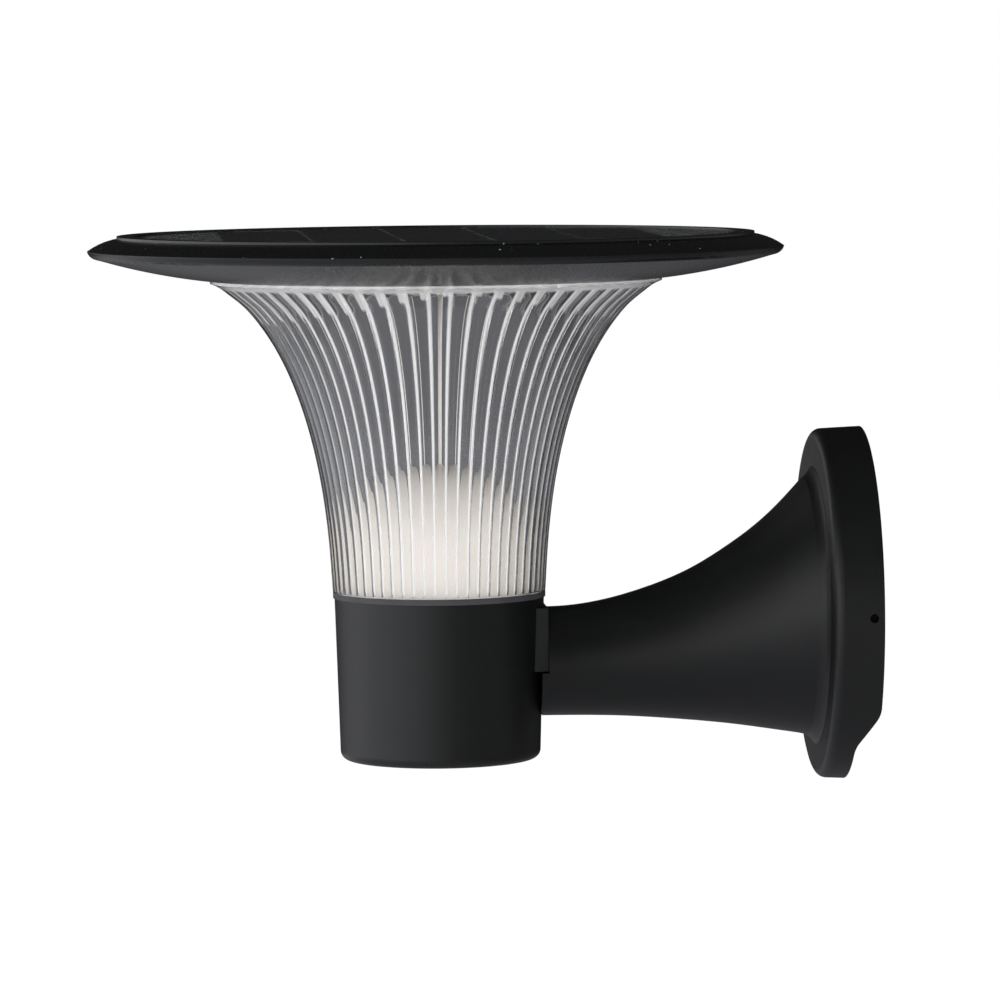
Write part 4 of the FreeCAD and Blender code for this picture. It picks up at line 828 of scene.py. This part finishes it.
SCREW_SIDES = 24
SCREW_SHARP = 30.0
PAN_HEAD_RADIUS = 2.5 * MM
PAN_HEAD_HEIGHT = 1.5 * MM
PAN_SHANK_RADIUS = 1.3 * MM
GRUB_RADIUS = 1.5 * MM
GRUB_LENGTH = 6.0 * MM
GRUB_NECK_SHARE = 0.95  # of its radius, below its middle
HEAD_ROUND_SHARE = 0.3  # of the head's height, rounded off at its top
HEAD_TOP_SHARE = 0.8  # of the head's radius, flat at its top
HEAD_SHOULDER_SHARE = 0.95  # of the head's radius, halfway down the rounding
TIP_SHARE = 0.6  # of the shank's radius
CROSS_SHARE = 0.62  # of the head's radius, reach of the driver cross
CROSS_WIDTH_SHARE = 0.2  # of the head's radius, half the cross's width
CROSS_DEPTH = 1.0 * MM
CROSS_TAPER = 0.9  # the cross's size at its floor
COVER_SCREW_RING = 27.2 * MM
COVER_SCREW_TURNS = (-90, 30, 150)


def cross_screw(name, head_radius, head_height, shank_radius, length):
    """A closed screw: its head's top at the origin, its shank down -Z, a driver cross in its head."""
    rise = head_height * HEAD_ROUND_SHARE
    profile = [
        (head_radius * HEAD_TOP_SHARE, 0.0),
        (head_radius * HEAD_SHOULDER_SHARE, -rise / 2),
        (head_radius, -rise),
        (head_radius, -head_height),
        (shank_radius, -head_height),
        (shank_radius, rise / 2 - length),
        (shank_radius * TIP_SHARE, -length),
    ]
    reach, half = head_radius * CROSS_SHARE, head_radius * CROSS_WIDTH_SHARE
    points, faces = [], []
    for radius, z in profile:
        for i in range(SCREW_SIDES):
            turn = math.tau * i / SCREW_SIDES
            points.append((radius * math.cos(turn), radius * math.sin(turn), z))
    for row in range(len(profile) - 1):
        for i in range(SCREW_SIDES):
            j = (i + 1) % SCREW_SIDES
            first, second = row * SCREW_SIDES, (row + 1) * SCREW_SIDES
            faces.append((first + j, first + i, second + i, second + j))
    last = (len(profile) - 1) * SCREW_SIDES
    faces.append(tuple(last + i for i in reversed(range(SCREW_SIDES))))
    corners = []
    for quarter in range(4):
        cos, sin = round(math.cos(math.pi / 2 * quarter)), round(math.sin(math.pi / 2 * quarter))
        for x, y in ((reach, -half), (reach, half), (half, half)):
            corners.append((x * cos - y * sin, x * sin + y * cos))
    # Each side of the cross's rim is joined to its part of the head's circle and to the cross's floor
    rim, sides = len(points), len(corners)
    base = rim + sides
    points += [(x, y, 0.0) for x, y in corners]
    points += [(x * CROSS_TAPER, y * CROSS_TAPER, -CROSS_DEPTH) for x, y in corners]
    for at in range(sides):
        after = (at + 1) % sides
        start = SCREW_SIDES * at // sides - 1
        circle = [(start + i) % SCREW_SIDES for i in range(SCREW_SIDES // sides + 1)]
        faces.append((rim + after, rim + at, *circle))
        faces.append((rim + at, rim + after, base + after, base + at))
    faces.append(tuple(base + i for i in range(sides)))
    mesh = bpy.data.meshes.new(name)
    mesh.from_pydata(points, [], faces)
    made = bpy.data.objects.new(name, mesh)
    bpy.context.scene.collection.objects.link(made)
    return made


def screws_tree():
    """Geometry Nodes: one screw at each point, turned as its point says, given one finish."""
    tree = bpy.data.node_groups.new("screws_at_points", "GeometryNodeTree")
    face = tree.interface
    for name, kind in (
        ("Places", "NodeSocketGeometry"),
        ("Screw", "NodeSocketObject"),
        ("Finish", "NodeSocketMaterial"),
    ):
        face.new_socket(name, in_out="INPUT", socket_type=kind)
    face.new_socket("Piece", in_out="OUTPUT", socket_type="NodeSocketGeometry")
    given = add_node(tree, "NodeGroupInput")
    result = add_node(tree, "NodeGroupOutput")
    screw = add_node(tree, "GeometryNodeObjectInfo", inputs={"Object": given.outputs["Screw"]})
    turn = add_node(
        tree, "GeometryNodeInputNamedAttribute", {"data_type": "FLOAT_VECTOR"}, {"Name": "turn"}
    )
    placed = add_node(
        tree,
        "GeometryNodeInstanceOnPoints",
        inputs={
            "Points": given.outputs["Places"],
            "Instance": screw.outputs["Geometry"],
            "Rotation": turn.outputs["Attribute"],
        },
    )
    real = add_node(tree, "GeometryNodeRealizeInstances", inputs={"Geometry": placed})
    done = add_node(
        tree,
        "GeometryNodeSetMaterial",
        inputs={"Geometry": real, "Material": given.outputs["Finish"]},
    )
    tree.links.new(done.outputs[0], result.inputs["Piece"])
    return tree


def make_screws(node, screw, places, finish):
    """Stands modelled screws in for a CAD node, each at a place and turned by angles."""
    points = bpy.data.meshes.new(node + "_places")
    points.from_pydata([place for place, _ in places], [], [])
    turns = points.attributes.new("turn", "FLOAT_VECTOR", "POINT")
    turns.data.foreach_set("vector", [angle for _, turn in places for angle in turn])
    source = bpy.data.objects.new(node + "_places", points)
    bpy.context.scene.collection.objects.link(source)
    mesh = made_by(screws_tree(), source, {"Screw": screw, "Finish": finish})
    bpy.data.objects.remove(screw)
    made = kept(node + "_crossed", mesh, SCREW_SHARP)
    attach(made, "root")
    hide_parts(node)


def make_all_screws():
    """The cover's three pan screws and the plate's two side screws, with driver crosses."""
    under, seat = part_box("cover_screws")[0][2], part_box("cover_screws")[1][2]
    spots = []
    for degrees in COVER_SCREW_TURNS:
        turn = math.radians(degrees)
        x, y = COVER_SCREW_RING * math.cos(turn), COVER_SCREW_RING * math.sin(turn)
        spots.append(((LAMP_X + x, y, under), (math.pi, 0.0, turn)))
    pan = cross_screw(
        "pan_screw", PAN_HEAD_RADIUS, PAN_HEAD_HEIGHT, PAN_SHANK_RADIUS, seat - under
    )
    make_screws("cover_screws", pan, spots, blackened)
    low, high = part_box("side_screws")
    middle = (low[0] + high[0]) / 2
    spots = [
        ((middle, high[1], 0.0), (-math.pi / 2, 0.0, 0.0)),
        ((middle, low[1], 0.0), (math.pi / 2, 0.0, 0.0)),
    ]
    grub = cross_screw(
        "grub_screw", GRUB_RADIUS, GRUB_LENGTH / 2, GRUB_RADIUS * GRUB_NECK_SHARE, GRUB_LENGTH
    )
    make_screws("side_screws", grub, spots, blackened)


make_all_screws()


# Studio

# What a glossy surface sees: bright on the left, dimmer on the right, behind and above
ROOM_LEVEL = 0.32
ROOM_LEFT = 1.6
ROOM_BEHIND = 0.6
ROOM_ABOVE = 1.75
ROOM_LEAST = 0.02
# The floor in gloss: it fades from left to right, and far behind the lamp
FLOOR_IN_GLOSS = 0.9
FLOOR_LEAST = 0.12
FLOOR_BRIGHT_X = -2.5
FLOOR_DARK_X = 0.8
FLOOR_FADES_Y = 1.6
FLOOR_FAR_Y = 4.0
FLOOR_FAR_SHARE = 0.15
# What shows through the lens: grey straight behind it, brighter at its sides and towards the camera.
# Each side is a part of the way's vector, where it starts, where it is full, and its strength.
THROUGH_LENS = 0.15
THROUGH_SIDES = (
    ("turned_left", 0.42, 0.55, 0.6),
    ("x", 0.42, 0.55, 0.4),
    ("turned_front", 0.2, 0.5, 0.6),
)
EVEN_LIGHT = 1.05
FLOOR_REACH = 12.0
FLOOR_Z = -0.62
FLOOR_GLOW = 1.035
FLOOR_GLOW_SHARE = 0.9  # of what the eye sees; the rest is paper, which takes the lamp's shadow
PAPER_WHITE = "#F4F4F4"
PAPER_ROUGH = 0.9
PURE_WHITE = "#FFFFFF"
WARM_WHITE = "#FFFDFA"
COOL_GREY = "#EDEEF4"


# The room's level from the x, y and z of the way a ray goes, in Math nodes as for the lens
WORLD_STEPS = (
    ("to_left", "MULTIPLY", "x", -ROOM_LEFT),
    ("left", "MAXIMUM", "to_left", 0.0),
    ("far", "MAXIMUM", "y", 0.0),
    ("far_square", "MULTIPLY", "far", "far"),
    ("far_fourth", "MULTIPLY", "far_square", "far_square"),
    ("behind", "MULTIPLY", "far_fourth", -ROOM_BEHIND),
    ("high", "MAXIMUM", "z", 0.0),
    ("above", "MULTIPLY", "high", -ROOM_ABOVE),
    ("left_and_behind", "ADD", "left", "behind"),
    ("all_three", "ADD", "left_and_behind", "above"),
    ("room", "ADD", "all_three", ROOM_LEVEL),
    ("room_level", "MAXIMUM", "room", ROOM_LEAST),
    ("turned_left", "MULTIPLY", "x", -1.0),
    ("turned_front", "MULTIPLY", "y", -1.0),
)


def world_light():
    """A plain studio: white behind for the eye, an even light, and a room that dims to the right."""
    world = bpy.data.worlds.new("studio")
    bpy.context.scene.world = world
    world.use_nodes = True
    world.cycles.sampling_method = "NONE"
    tree = world.node_tree
    tree.nodes.clear()
    output = add_node(tree, "ShaderNodeOutputWorld")
    way = add_node(tree, "ShaderNodeTexCoord").outputs["Generated"]
    parts = add_node(tree, "ShaderNodeSeparateXYZ", inputs={"Vector": way})
    found = {"x": parts.outputs["X"], "y": parts.outputs["Y"], "z": parts.outputs["Z"]}
    for name, operation, first, second in WORLD_STEPS:
        values = {0: found.get(first, first), 1: found.get(second, second)}
        found[name] = add_node(tree, "ShaderNodeMath", {"operation": operation}, values).outputs[0]
    room = add_node(
        tree,
        "ShaderNodeBackground",
        inputs={"Color": linear(PURE_WHITE), "Strength": found["room_level"]},
    )
    even = add_node(
        tree, "ShaderNodeBackground", inputs={"Color": linear(WARM_WHITE), "Strength": EVEN_LIGHT}
    )
    sides = THROUGH_LENS
    for name, low, high, strength in THROUGH_SIDES:
        aside = add_node(
            tree,
            "ShaderNodeMapRange",
            {"interpolation_type": "SMOOTHSTEP"},
            {"Value": found[name], "From Min": low, "From Max": high, "To Max": strength},
        )
        sides = add_node(
            tree, "ShaderNodeMath", {"operation": "MAXIMUM"}, {0: sides, 1: aside.outputs[0]}
        ).outputs[0]
    grey = add_node(
        tree, "ShaderNodeBackground", inputs={"Color": linear(COOL_GREY), "Strength": sides}
    )
    white = add_node(
        tree, "ShaderNodeBackground", inputs={"Color": linear(PURE_WHITE), "Strength": 1.0}
    )
    path = add_node(tree, "ShaderNodeLightPath")
    lit = add_node(
        tree,
        "ShaderNodeMath",
        {"operation": "GREATER_THAN"},
        {0: path.outputs["Diffuse Depth"], 1: 0.5},
    )
    # A later line of the table wins over an earlier one
    choice = even
    for ray, shader in (
        (path.outputs["Is Glossy Ray"], room),
        (path.outputs["Transmission Depth"], grey),
        (lit, even),
        (path.outputs["Is Camera Ray"], white),
    ):
        choice = add_node(tree, "ShaderNodeMixShader", inputs={0: ray, 1: choice, 2: shader})
    tree.links.new(choice.outputs[0], output.inputs["Surface"])


def floor():
    """A pale floor below the lamp, white for the eye but for the lamp's shadow, open from below."""
    mesh = bpy.data.meshes.new("studio_floor")
    low, high = -FLOOR_REACH, FLOOR_REACH
    corners = [(x, y, FLOOR_Z) for x, y in ((low, low), (high, low), (high, high), (low, high))]
    mesh.from_pydata(corners, [], [(0, 1, 2, 3)])
    made = bpy.data.objects.new("studio_floor", mesh)
    bpy.context.scene.collection.objects.link(made)
    plain = {
        "Base Color": linear(PAPER_WHITE),
        "Roughness": PAPER_ROUGH,
        "Specular IOR Level": 0.0,
    }
    finish, tree, paper, output, place = new_finish("paper_floor_white", plain)
    glow = add_node(
        tree, "ShaderNodeEmission", inputs={"Color": linear(PURE_WHITE), "Strength": FLOOR_GLOW}
    )
    path = add_node(tree, "ShaderNodeLightPath")
    along = add_node(tree, "ShaderNodeSeparateXYZ", inputs={"Vector": place})
    fading = add_node(
        tree,
        "ShaderNodeMapRange",
        inputs={
            "Value": along.outputs["X"],
            "From Min": FLOOR_BRIGHT_X,
            "From Max": FLOOR_DARK_X,
            "To Min": FLOOR_IN_GLOSS,
            "To Max": FLOOR_LEAST,
        },
    )
    behind = add_node(
        tree,
        "ShaderNodeMapRange",
        inputs={
            "Value": along.outputs["Y"],
            "From Min": FLOOR_FADES_Y,
            "From Max": FLOOR_FAR_Y,
            "To Min": fading,
            "To Max": FLOOR_LEAST * FLOOR_FAR_SHARE,
        },
    )
    seen = add_node(
        tree,
        "ShaderNodeMapRange",
        inputs={
            "Value": path.outputs["Transmission Depth"],
            "To Min": behind,
            "To Max": THROUGH_LENS,
        },
    )
    dimmed = add_node(
        tree, "ShaderNodeEmission", inputs={"Color": linear(COOL_GREY), "Strength": seen}
    )
    share = add_node(
        tree,
        "ShaderNodeMath",
        {"operation": "MULTIPLY"},
        {0: path.outputs["Is Camera Ray"], 1: FLOOR_GLOW_SHARE},
    )
    unlit = add_node(
        tree,
        "ShaderNodeMath",
        {"operation": "LESS_THAN"},
        {0: path.outputs["Diffuse Depth"], 1: 0.5},
    )
    in_gloss = add_node(
        tree,
        "ShaderNodeMath",
        {"operation": "MULTIPLY"},
        {0: path.outputs["Is Glossy Ray"], 1: unlit},
    )
    mirrored = add_node(tree, "ShaderNodeMixShader", inputs={0: in_gloss, 1: paper, 2: dimmed})
    choice = add_node(tree, "ShaderNodeMixShader", inputs={0: share, 1: mirrored, 2: glow})
    under = add_node(tree, "ShaderNodeNewGeometry").outputs["Backfacing"]
    open_below = add_node(tree, "ShaderNodeBsdfTransparent")
    shown = add_node(tree, "ShaderNodeMixShader", inputs={0: under, 1: choice, 2: open_below})
    tree.links.new(shown.outputs[0], output.inputs["Surface"])
    mesh.materials.append(finish)


LENS_MIDDLE_Z = 0.05
# Soft boxes: name, place, width, height and power in watts
LAMPS = (
    ("key_left", (-1.75, 1.1, 0.45), 1.0, 1.8, 16),
    ("front", (-0.4, -2.2, 0.3), 1.8, 1.4, 34),
)


def lamp(name, place, width, height, power):
    """A soft box turned towards the lens; gloss and the lens show the room instead of it."""
    light = bpy.data.lights.new(name, "AREA")
    light.shape = "RECTANGLE"
    light.size = width
    light.size_y = height
    light.energy = power
    made = bpy.data.objects.new(name, light)
    made.visible_glossy = False
    made.visible_transmission = False
    bpy.context.scene.collection.objects.link(made)
    aim = Vector((LAMP_X, 0, LENS_MIDDLE_Z)) - Vector(place)
    made.matrix_world = Matrix.Translation(place) @ aim.to_track_quat("-Z", "Y").to_matrix().to_4x4()


# The camera fitted to the photograph
CAMERA_TARGET = Vector((-136.11, 0.0, 40.53)) * MM
CAMERA_DISTANCE = 2119.9 * MM
CAMERA_AZIMUTH = math.radians(-4.035)
CAMERA_ELEVATION = math.radians(4.217)
CAMERA_ROLL = math.radians(-0.516)
CAMERA_LENS = 203.5
CAMERA_SENSOR = 36.0
CAMERA_REACH = 100.0


def camera():
    """The photograph's view: a long lens, slightly to the left and above, rolled a touch."""
    level = math.cos(CAMERA_ELEVATION)
    out = Vector(
        (
            math.sin(CAMERA_AZIMUTH) * level,
            -math.cos(CAMERA_AZIMUTH) * level,
            math.sin(CAMERA_ELEVATION),
        )
    )
    right = Vector((0, 0, 1)).cross(out).normalized()
    up = out.cross(right)
    tilted = right * math.cos(CAMERA_ROLL) + up * math.sin(CAMERA_ROLL)
    upright = out.cross(tilted)
    turn = Matrix((tilted, upright, out)).transposed().to_4x4()
    made = bpy.data.cameras.new("photo_view")
    made.lens = CAMERA_LENS
    made.sensor_width = CAMERA_SENSOR
    made.clip_end = CAMERA_REACH
    eye = bpy.data.objects.new("photo_view", made)
    eye.matrix_world = Matrix.Translation(CAMERA_TARGET + out * CAMERA_DISTANCE) @ turn
    bpy.context.scene.collection.objects.link(eye)
    bpy.context.scene.camera = eye


world_light()
floor()
for name, place, width, height, power in LAMPS:
    lamp(name, place, width, height, power)
camera()
bpy.context.scene.view_settings.view_transform = "Standard"
